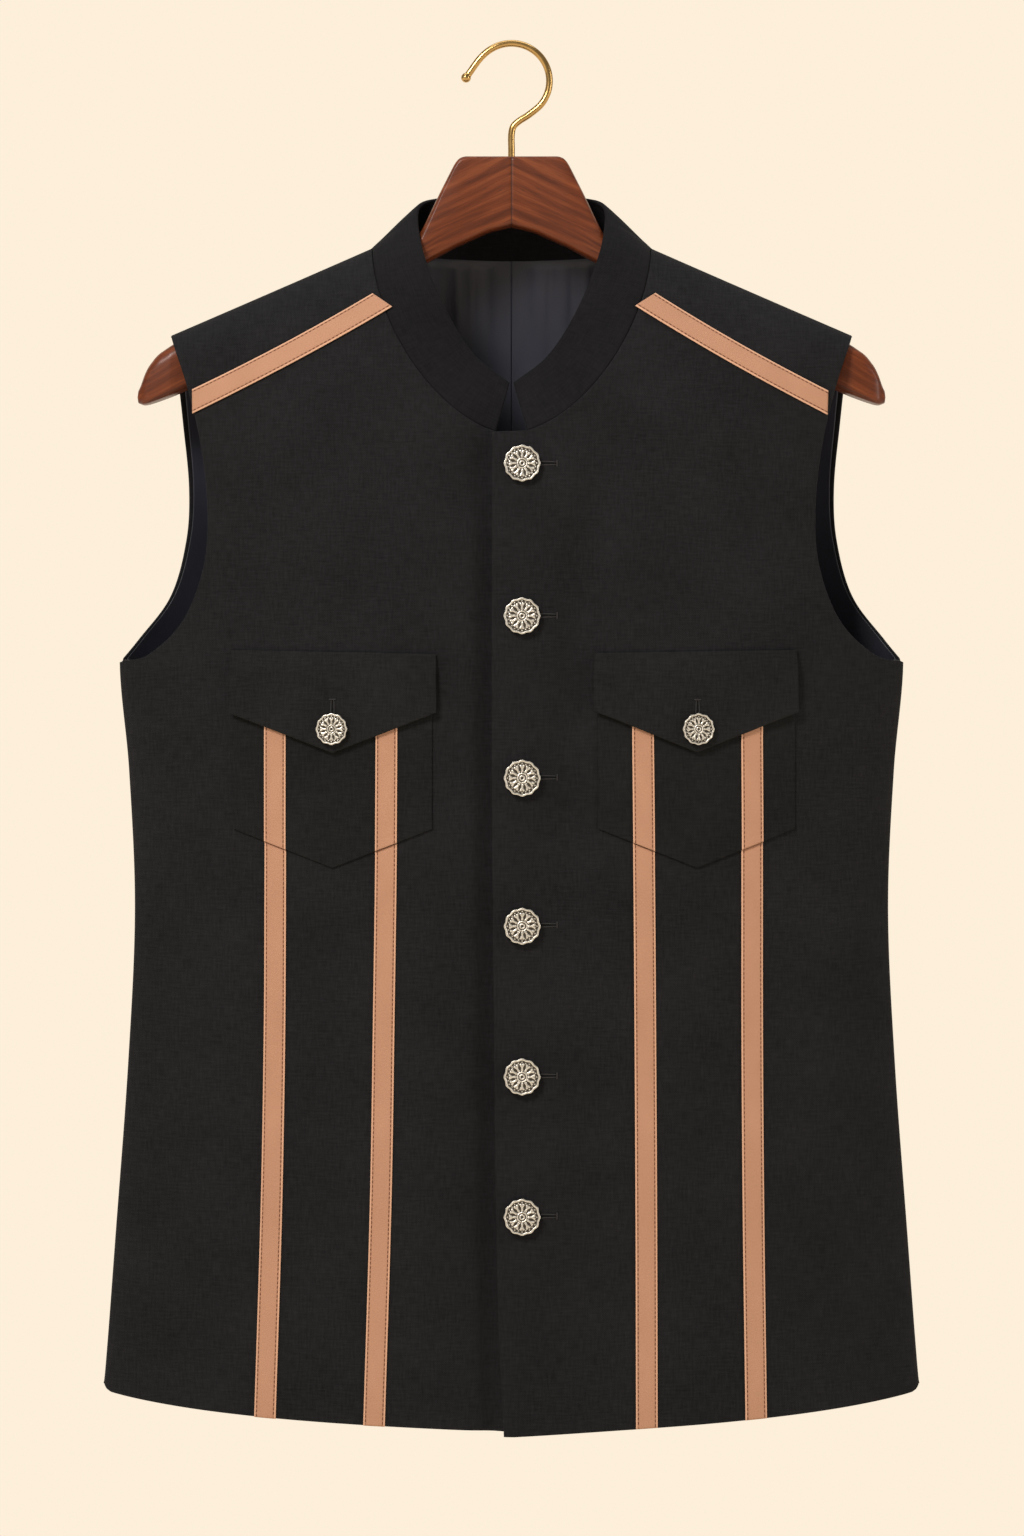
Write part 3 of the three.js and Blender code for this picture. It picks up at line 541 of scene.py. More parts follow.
# ---------- meshes ----------
def put(name, points, faces, materials, nodes=(), uv=None, which=None, relief=None):
    """A piece from arrays: points in millimetres, faces as lists of indices, a material for each face."""
    mesh = bpy.data.meshes.new(name)
    mesh.from_pydata((points * 0.001).tolist(), [], faces)
    mesh.polygons.foreach_set("use_smooth", np.ones(len(mesh.polygons), bool))
    for material in materials:
        mesh.materials.append(material)
    if which is not None:
        mesh.polygons.foreach_set("material_index", np.asarray(which, np.int32))
    if uv is not None:
        corner = np.empty(len(mesh.loops), np.int32)
        mesh.loops.foreach_get("vertex_index", corner)
        mesh.uv_layers.new(name="cut").uv.foreach_set("vector", uv[corner].astype(np.float32).ravel())
    if relief is not None:
        mesh.attributes.new("relief", "FLOAT", "POINT").data.foreach_set("value", relief.astype(np.float32))
    mesh.update()
    piece = bpy.data.objects.new(name, mesh)
    bpy.context.scene.collection.objects.link(piece)
    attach(piece, "root")
    if nodes:
        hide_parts(*nodes)
    return piece


def grid_faces(rows, cols, first=0):
    """The quads of a grid of points, counted row by row."""
    a = (np.arange(rows - 1)[:, None] * cols + np.arange(cols - 1)).ravel() + first
    return np.stack([a, a + 1, a + cols + 1, a + cols], -1)


EDGE_STEPS = np.array([0, 0.2, 0.6, 1.2, 2.2])


def steps(length, count, how=0.0):
    """Distances from 0 to length, close together at both ends so that an edge can be rolled.
    length may be an array, which gives a row of distances each."""
    length = np.asarray(length, float)[..., None]
    middle = crowd(np.linspace(0, 1, count)[1:-1], how)
    inner = EDGE_STEPS[-1] + middle * (length - 2 * EDGE_STEPS[-1])
    return np.concatenate([EDGE_STEPS + 0 * length, inner, length - EDGE_STEPS[::-1]], -1)


def nearest_edge(across, length):
    return np.minimum(across, length - across)


def normals_of(grid, away):
    """Unit normals of a grid by central differences, turned so that they point away from the inside."""
    du, dv = np.gradient(grid, axis=1), np.gradient(grid, axis=0)
    normal = np.cross(du, dv)
    normal /= np.maximum(np.linalg.norm(normal, axis=-1, keepdims=True), 1e-9)
    return normal * np.where((normal * away).sum(-1).mean() < 0, -1.0, 1.0)


def closed_round(points, start, finish):
    """A grid whose rows are closed rings, with a pole at each end; its faces are turned to point outwards."""
    rows, cols = points.shape[:2]
    here = np.arange(cols)
    after = (here + 1) % cols
    row = (np.arange(rows - 1) * cols)[:, None]
    a, b = (row + here).ravel(), (row + after).ravel()
    sides = np.stack([a, a + cols, b + cols, b], -1)
    first, last, end = rows * cols, rows * cols + 1, (rows - 1) * cols
    fans = np.concatenate(
        [
            np.stack([here, after, first + 0 * here], -1),
            np.stack([end + after, end + here, last + 0 * here], -1),
        ]
    )
    flat = np.concatenate([points.reshape(-1, 3), [start, finish]])
    corners = np.concatenate([sides[:, [0, 1, 2]], sides[:, [0, 2, 3]], fans])
    p, q, s = (flat[corners[:, k]] for k in range(3))
    faces = sides.tolist() + fans.tolist()
    if (p * np.cross(q, s)).sum() < 0:
        faces = [face[::-1] for face in faces]
    return flat, faces


ROLL, RIM = 0.6, 0.3


def wall(name, face, normal, thick, edge, materials, nodes=(), uv=None):
    """A closed wall. `face` is its outer grid; the wall thins to a rolled edge, as
    thick * (RIM + (1 - RIM) * sqrt(1 - (1 - d)^2)), d the distance from the edge over ROLL of the wall.
    Its inner face takes the last of the materials."""
    d = np.clip(edge / (ROLL * thick), 0, 1)
    now = thick * (RIM + (1 - RIM) * np.sqrt(1 - (1 - d) ** 2))
    outer = face - normal * ((thick - now) / 2)[..., None]
    inner = face - normal * ((thick + now) / 2)[..., None]
    rows, cols = face.shape[:2]
    count = rows * cols
    front = grid_faces(rows, cols)
    if (np.cross(np.gradient(face, axis=1), np.gradient(face, axis=0)) * normal).sum() < 0:
        front = front[:, ::-1]
    back = front[:, ::-1] + count
    line = np.concatenate(
        [
            np.arange(cols),
            np.arange(1, rows) * cols + cols - 1,
            (rows - 1) * cols + np.arange(cols - 2, -1, -1),
            np.arange(rows - 2, 0, -1) * cols,
        ]
    )
    after = np.roll(line, -1)
    rim = np.stack([line, line + count, after + count, after], -1)
    first = front[0].tolist()
    if (first.index(1) - first.index(0)) % 4 != 1:
        rim = rim[:, ::-1]
    faces = np.concatenate([front, back, rim])
    inside = len(materials) - 1
    which = np.concatenate([np.zeros(len(front)), np.full(len(back), inside), np.zeros(len(rim))])
    points = np.concatenate([outer.reshape(-1, 3), inner.reshape(-1, 3)])
    if uv is None:
        uv = face[..., [0, 2]]
    flat = np.concatenate([uv.reshape(-1, 2)] * 2)
    return put(name, points, faces.tolist(), materials, nodes, flat, which)


# ---------- fronts ----------
def hem_z(x, rise):
    """The front hem: it drops from the side seams by 14(1-r) + 8(1-r^4), r the share of the half width."""
    r = np.minimum(np.abs(x) / half_width(HEM_SIDE), 1)
    return HEM_SIDE - HEM_LINEAR * (1 - r) - HEM_STEEP * (1 - r**4) + rise * (1 - r)


def hem_corner(x):
    """The hem's rounded corner at the side seam."""
    near = np.clip((np.abs(x) - half_width(HEM_SIDE) + HEM_CORNER) / HEM_CORNER, 0, 1)
    return HEM_CORNER * (1 - np.sqrt(1 - near**2))


def front_neck(share):
    """The neck seam, a superellipse quarter from the collar's end to the shoulder."""
    start = math.asin((FRONT_NECK_START / NECK_X) ** (FRONT_NECK_POWER / 2))
    angle = mix(start, np.pi / 2, share)
    x = NECK_X * np.sin(angle) ** (2 / FRONT_NECK_POWER)
    return x, NECK_Z - FRONT_DROP * np.maximum(np.cos(angle), 0) ** (2 / FRONT_NECK_POWER)


# Shares of the way up the armhole that belong to the leading edge and to the neck's corner.
EDGE_CLIMB, NECK_CLIMB = 1 / 3, 0.4


def front_piece(panel):
    """Rows run from the hem up; each goes from the leading edge or neck to the side seam or armhole."""
    low, corner, under = float(hem_z(0, panel["hem"])), panel["edge"]["z"][0], ARMHOLE_FRONT["z"][0]
    side_rows = steps(under - low, 120)[:-5] / (under - low)
    in_z = mix(low, under, side_rows)
    out_z = mix(HEM_SIDE, under, side_rows)
    climb = np.concatenate(
        [
            np.linspace(0, EDGE_CLIMB, 42)[:-1],
            np.linspace(EDGE_CLIMB, NECK_CLIMB, 9)[:-1],
            np.linspace(NECK_CLIMB, 1, 74),
        ]
    )
    chest_z = mix(under, corner, np.minimum(climb * 3, 1))
    round_neck = np.clip((climb - NECK_CLIMB) / (1 - NECK_CLIMB), 0, 1)
    neck_x, neck_z = front_neck(crowd(round_neck, RIDGE_CROWDING))
    top = np.clip((climb - EDGE_CLIMB) / (NECK_CLIMB - EDGE_CLIMB), 0, 1)
    edge_x = smooth(panel["edge"], "z", "x", chest_z)
    start_x, start_z = front_neck(0.0)
    in_x = np.where(climb < NECK_CLIMB, mix(edge_x, start_x, top), neck_x)
    in_up = np.where(climb < NECK_CLIMB, np.where(top > 0, mix(corner, start_z, top), chest_z), neck_z)
    arm_x, arm_z = along(ARMHOLE_FRONT, crowd(climb, RIDGE_CROWDING))
    x0 = np.concatenate([smooth(panel["edge"], "z", "x", in_z), in_x])
    z0 = np.concatenate([in_z, in_up])
    x1 = np.concatenate([half_width(out_z), arm_x])
    z1 = np.concatenate([out_z, arm_z])
    hang = np.concatenate([1 - side_rows, 0 * climb])[:, None]
    length = np.hypot(x1 - x0, z1 - z0)
    d = steps(length, 74, 0.35)
    share = d / length[:, None]
    x, z = mix(x0[:, None], x1[:, None], share), mix(z0[:, None], z1[:, None], share)
    straight = mix(low, HEM_SIDE, share)
    z = z + (hem_z(x, panel["hem"]) + hem_corner(x) - straight) * hang**1.5
    face = np.stack([x * panel["side"], front_y(panel, x * panel["side"], z), z], -1)
    seam_rows = len(side_rows)
    face[-1, :, 1] = plane(face[-1, :, 0], face[-1, :, 2]) - SEWN
    face[:seam_rows, -1, 1] = plane(face[:seam_rows, -1, 0], face[:seam_rows, -1, 2]) - SEWN
    normal = normals_of(face, np.array([0, -1, 0]))
    normal[:seam_rows, -1] = (panel["side"], 0, 0)
    normal[-1] = (0, 0, 1)
    edge = np.minimum(nearest_edge(d, length[:, None]), np.minimum(z - z[0], np.abs(z[-1] - z)))
    name = panel["name"]
    piece = wall(name + "_cloth", face, normal, FRONT_WALL, edge, [SUITING, SATIN], [name])


front_piece(LEFT)
front_piece(RIGHT)


# ---------- back and its lining ----------
NECK_SHARE = 8 / 18


def back_top(u):
    """The back's upper edge by u from -1 to 1: shoulder, neck curve, shoulder."""
    a = np.abs(u)
    angle = np.clip(a / NECK_SHARE, 0, 1) * np.pi / 2
    shoulder = (a - NECK_SHARE) / (1 - NECK_SHARE)
    x = np.where(a < NECK_SHARE, NECK_X * np.sin(angle), mix(NECK_X, TIP_X, shoulder))
    z = np.where(a < NECK_SHARE, NECK_Z - BACK_DROP * np.cos(angle) ** 2, mix(NECK_Z, TIP_Z, shoulder))
    return np.sign(u) * x, z


def back_grid(u, side_rows, climb):
    """x and z of the back: below the underarm rows are level, above it they rise to the upper edge."""
    z = mix(HEM_SIDE, ARMHOLE_BACK["z"][0], side_rows)
    arm_x, arm_z = along(ARMHOLE_BACK, crowd(climb, RIDGE_CROWDING))
    row_x = np.concatenate([half_width(z), arm_x])[:, None]
    row_z = np.concatenate([z, arm_z])[:, None]
    rise = np.concatenate([0 * side_rows, crowd(climb, RIDGE_CROWDING)])[:, None]
    hang = np.concatenate([1 - side_rows, 0 * climb])[:, None]
    spread = np.sign(u) * crowd(np.abs(u), SIDE_CROWDING)
    top_x, top_z = back_top(u)
    x = row_x * mix(spread, top_x / TIP_X, rise)
    hem = -HEM_BACK * (1 - spread**2) + hem_corner(x)
    return x, row_z + rise * (top_z - TIP_Z) + hem * hang**1.5


def back_piece():
    tall = ARMHOLE_BACK["z"][0] - HEM_SIDE
    side_rows = steps(tall, 120)[:-5] / tall
    climb = np.concatenate([np.linspace(0, 1, 96)[:-1], [0.996, 0.9985, 1.0]])[1:]
    u = steps(240.0, 66)[5:] / 240
    u = np.concatenate([-u[::-1], np.linspace(-u[0], u[0], 3)[1:-1], u])
    x, z = back_grid(u, side_rows, climb)
    face = np.stack([x, back_y(x, z), z], -1)
    seam_rows = len(side_rows)
    on_ridge = np.abs(face[-1, :, 0]) >= NECK_X
    face[-1, on_ridge, 1] = plane(face[-1, on_ridge, 0], face[-1, on_ridge, 2]) + SEWN
    for side in (0, -1):
        face[:seam_rows, side, 1] = plane(face[:seam_rows, side, 0], face[:seam_rows, side, 2]) + SEWN
    normal = normals_of(face, np.array([0, 1, 0]))
    normal[-1, on_ridge] = (0, 0, 1)
    normal[:seam_rows, 0], normal[:seam_rows, -1] = (-1, 0, 0), (1, 0, 0)
    arm = np.abs(np.abs(x[:, -1:]) - np.abs(x))
    edge = np.minimum(np.minimum(arm, np.abs(z - z[0])), np.abs(z[-1] - z))
    piece = wall("back_cloth", face, normal, BACK_WALL, edge, [SUITING, SUITING], ["back"])


back_piece()


def lining_piece(name, side):
    """One half of the back's lining, 2.3 mm in from the back's outer face, gathered under the neckband."""
    tall = ARMHOLE_BACK["z"][0] - HEM_SIDE
    side_rows = steps(tall, 70)[:-5] / tall
    side_rows = 0.045 + 0.955 * side_rows
    climb = np.concatenate([np.linspace(0, 1, 84)[:-1], [0.995, 0.998]])[1:]
    u = side * steps(0.985 * 240, 60) / 240
    x, z = back_grid(u, side_rows, climb)
    y = back_y(x, z)
    face = np.stack([x, y, z], -1)
    normal = normals_of(face, np.array([0, 1, 0]))
    face = face - normal * LINING_IN
    drop = back_top(u)[1] - z
    gather = sum(
        depth * np.exp(-(((face[..., 0] - gx) / wide) ** 2)) for gx, depth, wide in zip(*GATHERS.values())
    )
    soft = gather * ease(drop, 0.5, 6) * (1 - ease(drop, 15, 90))
    soft = soft + 0.9 * ease(drop, 5, 60) * (1 + np.sin(face[..., 0] / 11 + z / 70) * np.sin(z / 31 + side))
    face[..., 1] -= soft * calm(x, z)
    face[..., 0] += side * SEAM / 2
    across = np.abs(x)
    edge = np.minimum(np.minimum(across, np.abs(x[:, -1:]) - across), np.abs(z - z[0]))
    piece = wall(name + "_cloth", face, -normal, LINING_WALL, edge, [SATIN], [name])


lining_piece("lining_back_left", 1)
lining_piece("lining_back_right", -1)


# ---------- collar ----------
def neck_seam(turn, side):
    """Where the collar is sewn on: the front's neck seam, then the back's."""
    share = crowd(np.clip(turn / NECK_TURN, 0, 1), RIDGE_CROWDING)
    fx, fz = front_neck(share)
    angle = np.clip(1 - (turn - NECK_TURN) / (1 - NECK_TURN), 0, 1) * np.pi / 2
    bx, bz = NECK_X * np.sin(angle), NECK_Z - BACK_DROP * np.cos(angle) ** 2
    panel = LEFT if side > 0 else RIGHT
    front = turn < NECK_TURN
    x, z = side * np.where(front, fx, bx), np.where(front, fz, bz)
    blend = ease(turn, NECK_TURN - 0.02, NECK_TURN + 0.02)
    y = mix(front_y(panel, x, z), back_y(x, z), np.where(front, 0, 1))
    return np.stack([x, mix(y, plane(x, z), 4 * blend * (1 - blend)), z], -1)


def collar_piece():
    """A band from the neck seam to its upper edge, leaning in, bulged in the middle of its height:
    seam + h * (top - seam) + normal * COLLAR_BULGE * 4h(1 - h), h the share of the height."""
    turn = (steps(HALF_COLLAR, 96) / HALF_COLLAR)[:-5]
    x, y, z = (smooth(COLLAR_TOP, "turn", key, turn) for key in "xyz")
    half = [np.stack([neck_seam(turn, side), np.stack([side * x, y, z], -1)]) for side in (-1, 1)]
    seam, top = np.concatenate([half[0], half[1][:, ::-1]], axis=1)
    rise = top - seam
    height = np.linalg.norm(rise, axis=-1)
    turns = np.concatenate([turn, turn[::-1]])
    behind = ease(turns, NECK_TURN - 0.05, NECK_TURN + 0.01)
    seam = seam + rise / height[:, None] * (SEAM - 1.1 * behind)[:, None]
    h = steps(COLLAR_HIGH, 18) / COLLAR_HIGH
    face = mix(seam[None], top[None], h[:, None, None])
    normal = normals_of(face, face * (1, 1, 0))
    face = face + normal * (COLLAR_BULGE * 4 * h * (1 - h))[:, None, None]
    length = np.concatenate([[0], np.cumsum(np.linalg.norm(np.diff(face[9], axis=0), axis=-1))])
    d = nearest_edge(length, length[-1])[None, :]
    up = h[:, None] * COLLAR_HIGH
    edge = np.minimum(np.minimum(d, (1 - h[:, None]) * COLLAR_HIGH), up + 3 * behind)
    uv = np.stack(np.broadcast_arrays(length[None, :], up), -1)
    piece = wall("collar_cloth", face, normal, COLLAR_WALL, edge, [COLLAR_SUITING_PAINTED_SHADE], ["collar"], uv)


collar_piece()

# ---------- pockets, flaps and tapes ----------
POCKETS = {
    1: {"name": "left", "inner": 51.9, "outer": 170.5, "top": -380, "low": -476.4, "point": -500},
    -1: {"name": "right", "inner": 47.6, "outer": 167.2, "top": -380, "low": -476.6, "point": -500},
}
FLAPS = {
    1: {"inner": 50, "outer": 171.4, "top_in": -371.1, "top_out": -368.9, "low": -406.1, "point": -430.6},
    -1: {"inner": 45.2, "outer": 168.4, "top_in": -371.7, "top_out": -368.9, "low": -406.9, "point": -431},
}
POCKET_LIFT, POCKET_WALL = 0.4, 1.0
TAPE_WIDTH, TAPE_WALL = 13, 1.0
POCKET_TAPE_LIFT = POCKET_LIFT + POCKET_WALL + SEAM
FLAP_LIFT, FLAP_WALL = POCKET_TAPE_LIFT + TAPE_WALL + 0.4, 2.0
POCKET_HEM = 5.3
VEE_SLOPE = 0.93
TAPES = columns(
    "side chest waist hip seat hem",
    (1, 144.2, 144.6, 144.7, 145.4, 147),
    (1, 78.7, 79.5, 80.2, 80.8, 81.1),
    (-1, 74.8, 75.3, 76.6, 78.4, 82.4),
    (-1, 141.8, 141.9, 142.4, 144.2, 148.2),
)
TAPE_NAMES = ("left_outer", "left_inner", "right_inner", "right_outer")
TAPE_HEIGHTS = np.array([-425, -500, -592, -700, -835.0])
TAPE_TOP, TAPE_AT = -388, -490
YOKE = {
    1: {"name": "left", "x0": 80.6, "z0": -157.6, "x1": 190.6, "z1": -219.6},
    -1: {"name": "right", "x0": 77.8, "z0": -158, "x1": 192.4, "z1": -218.8},
}
YOKE_SAG, YOKE_LIFT, YOKE_LEAN = 2, 0.8, 0.45


def panel_of(side):
    return LEFT if side > 0 else RIGHT


def vee(p, s):
    """The pointed lower edge, by the share s across."""
    return mix(p["low"], p["point"], 1 - np.abs(2 * s - 1))


def patch(name, side, x, z, lift, thick, edge, material, nodes, uv=None):
    """A wall laid on a front: x is measured from the centre line and lift is under its inner face."""
    panel = panel_of(side)
    face, normal = on_front(panel, x * side, z, lift + thick)
    return wall(name, face, normal, thick, edge, [material], nodes, uv)


def pocket_piece(side):
    """A pointed patch; its lower hem is folded up 5.3 mm, so it is a little thicker there."""
    p = POCKETS[side]
    wide, tall = p["outer"] - p["inner"], p["top"] - p["point"]
    s = steps(wide, 61) / wide
    t = (steps(tall, 50) / tall)[:, None]
    x = mix(p["inner"], p["outer"], s)[None, :] + 0 * t
    z = mix(p["top"], vee(p, s)[None, :], t)
    up = (z - vee(p, s)[None, :]) * VEE_SLOPE
    sides = nearest_edge(x - p["inner"], wide)
    edge = np.minimum(up, sides)
    turned_up = 0.28 * (1 - ease(up, POCKET_HEM - 0.5, POCKET_HEM + 0.4))
    stitched = 0.3 * np.exp(-(((up - POCKET_HEM) / 0.5) ** 2))
    belly = 0.15 * np.sin(np.pi * np.clip((x - p["inner"]) / wide, 0, 1)) * ease(up, 8, 30)
    lift = POCKET_LIFT + turned_up - stitched + belly
    node = f"pocket_{p['name']}"
    piece = patch(node + "_cloth", side, x, z, lift, POCKET_WALL, edge, POCKET_SUITING_PAINTED_SHADE, [node])
    panel_of(side)["name"] + "_cloth"


def flap_piece(side):
    """A pointed flap sewn along its top, which climbs over the pocket's mouth and the tapes."""
    p, node = FLAPS[side], f"flap_{POCKETS[side]['name']}"
    wide, tall = p["outer"] - p["inner"], p["top_out"] - p["point"]
    s = steps(wide, 61) / wide
    t = (steps(tall, 34) / tall)[:, None]
    top = mix(p["top_in"], p["top_out"], s)[None, :]
    x = mix(p["inner"], p["outer"], s)[None, :] + 0 * t
    z = mix(top, vee(p, s)[None, :], t)
    down, up = top - z, (z - vee(p, s)[None, :]) * VEE_SLOPE
    sides = nearest_edge(x - p["inner"], wide)
    edge = np.minimum(np.minimum(up, down), sides)
    climb = mix(POCKET_LIFT - 0.1, FLAP_LIFT, ease(down, -2, 15))
    curl = 0.7 * np.exp(-(sides + up) / 9) + 0.35 * np.exp(-up / 5)
    lift = climb + curl
    piece = patch(node + "_cloth", side, x, z, lift, FLAP_WALL, edge, FLAP_SUITING, [node])
    under = panel_of(side)["name"] + "_cloth"


def tape_x(row, z):
    heights = ("chest", "waist", "hip", "seat", "hem")
    table = {"z": TAPE_HEIGHTS, "x": np.array([TAPES[height][row] for height in heights])}
    return smooth(table, "z", "x", z)


def pocket_edge(side, x):
    p = POCKETS[side]
    return vee(p, np.clip((x - p["inner"]) / (p["outer"] - p["inner"]), 0, 1))


def stitches(name, start, end, normal, width, high, material, slot):
    """Many stitches in one piece: each is an ellipsoid between its start and end, six points round."""
    ring = np.linspace(0, 2 * np.pi, 7)[:-1]
    lengths = np.array([-0.42, 0, 0.42])
    girth = np.array([0.75, 1.0, 0.75])
    unit = [(-0.5, 0, 0)]
    unit += [(a, g * math.cos(r), g * math.sin(r)) for a, g in zip(lengths, girth) for r in ring]
    unit = np.array(unit + [(0.5, 0, 0)])
    side = np.cross(normal, end - start)
    side /= np.linalg.norm(side, axis=-1, keepdims=True)
    points = (
        ((start + end) / 2)[:, None]
        + (end - start)[:, None] * unit[None, :, :1]
        + side[:, None] * unit[None, :, 1:2] * width / 2
        + normal[:, None] * unit[None, :, 2:] * high / 2
    )
    k = np.arange(6)
    n = (k + 1) % 6
    faces = [[0, 1 + b, 1 + a] for a, b in zip(k, n)]
    for first in (1, 7):
        faces += [[first + a, first + b, first + 6 + b, first + 6 + a] for a, b in zip(k, n)]
    faces += [[19, 13 + a, 13 + b] for a, b in zip(k, n)]
    every = [[i + 20 * j for i in f] for j in range(len(start)) for f in faces]
    put(name, points.reshape(-1, 3), every, [material])


def along_front(side, path, out, pitch, length):
    """Starts, ends and normals of stitches along path(t) = (x, z) on a front, t from 0 to 1."""
    t = np.linspace(0, 1, 400)
    x, z = path(t)
    panel = panel_of(side)
    points = on_front(panel, x * side, z, out)[0]
    run = np.concatenate([[0], np.cumsum(np.linalg.norm(np.diff(points, axis=0), axis=-1))])
    starts = np.arange(pitch * 0.3, run[-1] - length, pitch)
    a, b = np.interp(starts, run, t), np.interp(starts + length, run, t)
    here, normal = on_front(panel, path(a)[0] * side, path(a)[1], out)
    there = on_front(panel, path(b)[0] * side, path(b)[1], out)[0]
    return here, there, normal


def joined(*rows):
    return [np.concatenate(parts) for parts in zip(*rows)]


# The two rows of stitches: from the tape's middle, sunk, pitch and length, width and height.
STITCH_IN, STITCH_SUNK = 5.1, 0.1
STITCH_PITCH, STITCH_GIRTH = (2.7, 1.75), (0.55, 0.42)


def tape_pieces(row):
    """One upright tape: the length on the pocket, the length below it, and both rows of stitches on each."""
    side, name = int(TAPES["side"][row]), TAPE_NAMES[row]
    panel = panel_of(side)
    d = steps(TAPE_WIDTH, 10)
    flat_x = d - TAPE_WIDTH / 2

    def place(label, top, bottom, count, lift, crease=None):
        t = np.linspace(0, 1, count)[:, None]
        x0 = tape_x(row, TAPE_AT) + flat_x[None, :]
        z = mix(top(x0), bottom(x0), t)
        x = tape_x(row, z) + flat_x[None, :]
        edge = np.minimum(nearest_edge(d, TAPE_WIDTH)[None, :], nearest_edge(z - z[-1], z[0] - z[-1]) + 0.4)
        groove = 0.18 * np.exp(-(((np.abs(flat_x) - STITCH_IN) / 0.45) ** 2))[None, :]
        out = lift - groove
        if crease is not None:
            out = out - 0.25 * np.exp(-(((z - crease(x)) / 0.35) ** 2))
        uv = np.stack(np.broadcast_arrays(d[None, :], z), -1)
        piece = patch(label + "_cloth", side, x, z, out, TAPE_WALL, edge, TAPE, [label], uv)
        long = round(float(top(x0).mean() - bottom(x0).mean()) / 1000, 3)
        panel["name"] + "_cloth"
        rows = []
        for off in (-STITCH_IN, STITCH_IN):
            ends = top(tape_x(row, TAPE_AT) + off), bottom(tape_x(row, TAPE_AT) + off)

            def path(t, off=off, ends=ends):
                z = mix(ends[0], ends[1], t)
                return tape_x(row, z) + off, z

            rows.append(along_front(side, path, lift + TAPE_WALL - STITCH_SUNK, *STITCH_PITCH))
        stitches(label + "_stitches", *joined(*rows), *STITCH_GIRTH, TAPE_THREAD, "tape")

    def edge_z(x):
        return pocket_edge(side, x)

    def mouth(x):
        return TAPE_TOP + 0 * x

    def under_pocket(x):
        return edge_z(x) - SEAM

    def over_hem(x):
        return hem_z(x, panel["hem"]) + SEAM

    def hem_stitch(x):
        return edge_z(x) + POCKET_HEM

    place(f"tape_pocket_{name}", mouth, edge_z, 90, POCKET_TAPE_LIFT, hem_stitch)
    place(f"tape_{name}", under_pocket, over_hem, 220, POCKET_LIFT)


def yoke_piece(side):
    """A shoulder tape from the collar seam to the armhole, sagging 2 mm, its ends cut along those edges."""
    y = YOKE[side]
    slope = math.atan2(y["z1"] - y["z0"], y["x1"] - y["x0"])
    d = steps(TAPE_WIDTH, 10)[:, None]

    def point(s, d):
        off = d / TAPE_WIDTH - 0.5
        cut = -(1 - 2 * s) * YOKE_LEAN * TAPE_WIDTH * off
        x = mix(y["x0"], y["x1"], s) + math.sin(slope) * TAPE_WIDTH * off + cut
        z = mix(y["z0"], y["z1"], s) - math.cos(slope) * TAPE_WIDTH * off
        return x, z - YOKE_SAG * 4 * s * (1 - s) + cut * math.tan(slope)

    s = np.linspace(0, 1, 100)[None, :]
    x, z = point(s, d)
    groove = 0.18 * np.exp(-(((np.abs(d - 6.5) - STITCH_IN) / 0.45) ** 2))
    edge = nearest_edge(d, TAPE_WIDTH) + 0 * s
    uv = np.stack(np.broadcast_arrays(d, s * 128), -1)
    node = f"tape_yoke_{y['name']}"
    lift = YOKE_LIFT - groove
    piece = patch(node + "_cloth", side, x, z, lift, TAPE_WALL, edge, TAPE, [node], uv)
    panel_of(side)["name"] + "_cloth"
    rows = [
        along_front(side, lambda t, at=at: point(t, at), YOKE_LIFT + TAPE_WALL - STITCH_SUNK, *STITCH_PITCH)
        for at in (6.5 - STITCH_IN, 6.5 + STITCH_IN)
    ]
    stitches(node + "_stitches", *joined(*rows), *STITCH_GIRTH, TAPE_THREAD, "tape")


for side in (1, -1):
    pocket_piece(side)
    flap_piece(side)
    yoke_piece(side)
for row in range(4):
    tape_pieces(row)

# ---------- buttons ----------
BUTTON_X = 6.3
BUTTON_HEIGHTS = (-257.6, -349, -446, -534.6, -625, -709)
POCKET_BUTTONS = {1: (110.9, -416.6), -1: (106.6, -416.6)}
SHANK_FOOT = SEAM + 0.35


def button_relief(r, angle):
    """The face's height by the share r of its radius: a raised rim, a crossed lattice of twelve curves each
    way, a ring of beads, an inner ring and a small sunk centre. Also how raised each place is, 0 to 1."""
    def band(at, wide):
        return np.exp(-(((r - at) / wide) ** 2))

    sweep = 7.5 * (r - 0.5)
    lattice = np.maximum(np.cos(12 * angle + sweep), np.cos(12 * angle - sweep))
    lattice = ease(lattice, 0.35, 0.95) * ease(r, 0.30, 0.36) * (1 - ease(r, 0.70, 0.76))
    beads = ease(np.cos(24 * angle), -0.2, 0.7) * band(0.80, 0.035)
    rim = ease(r, 0.87, 0.91)
    ring = band(0.26, 0.035) + 0.8 * band(0.12, 0.04)
    raised = np.maximum(np.maximum(lattice, beads), np.maximum(rim, ring))
    height = 0.55 * rim + 0.34 * np.maximum(lattice, beads) + 0.45 * ring - 0.3 * (1 - ease(r, 0.03, 0.07))
    return height, raised


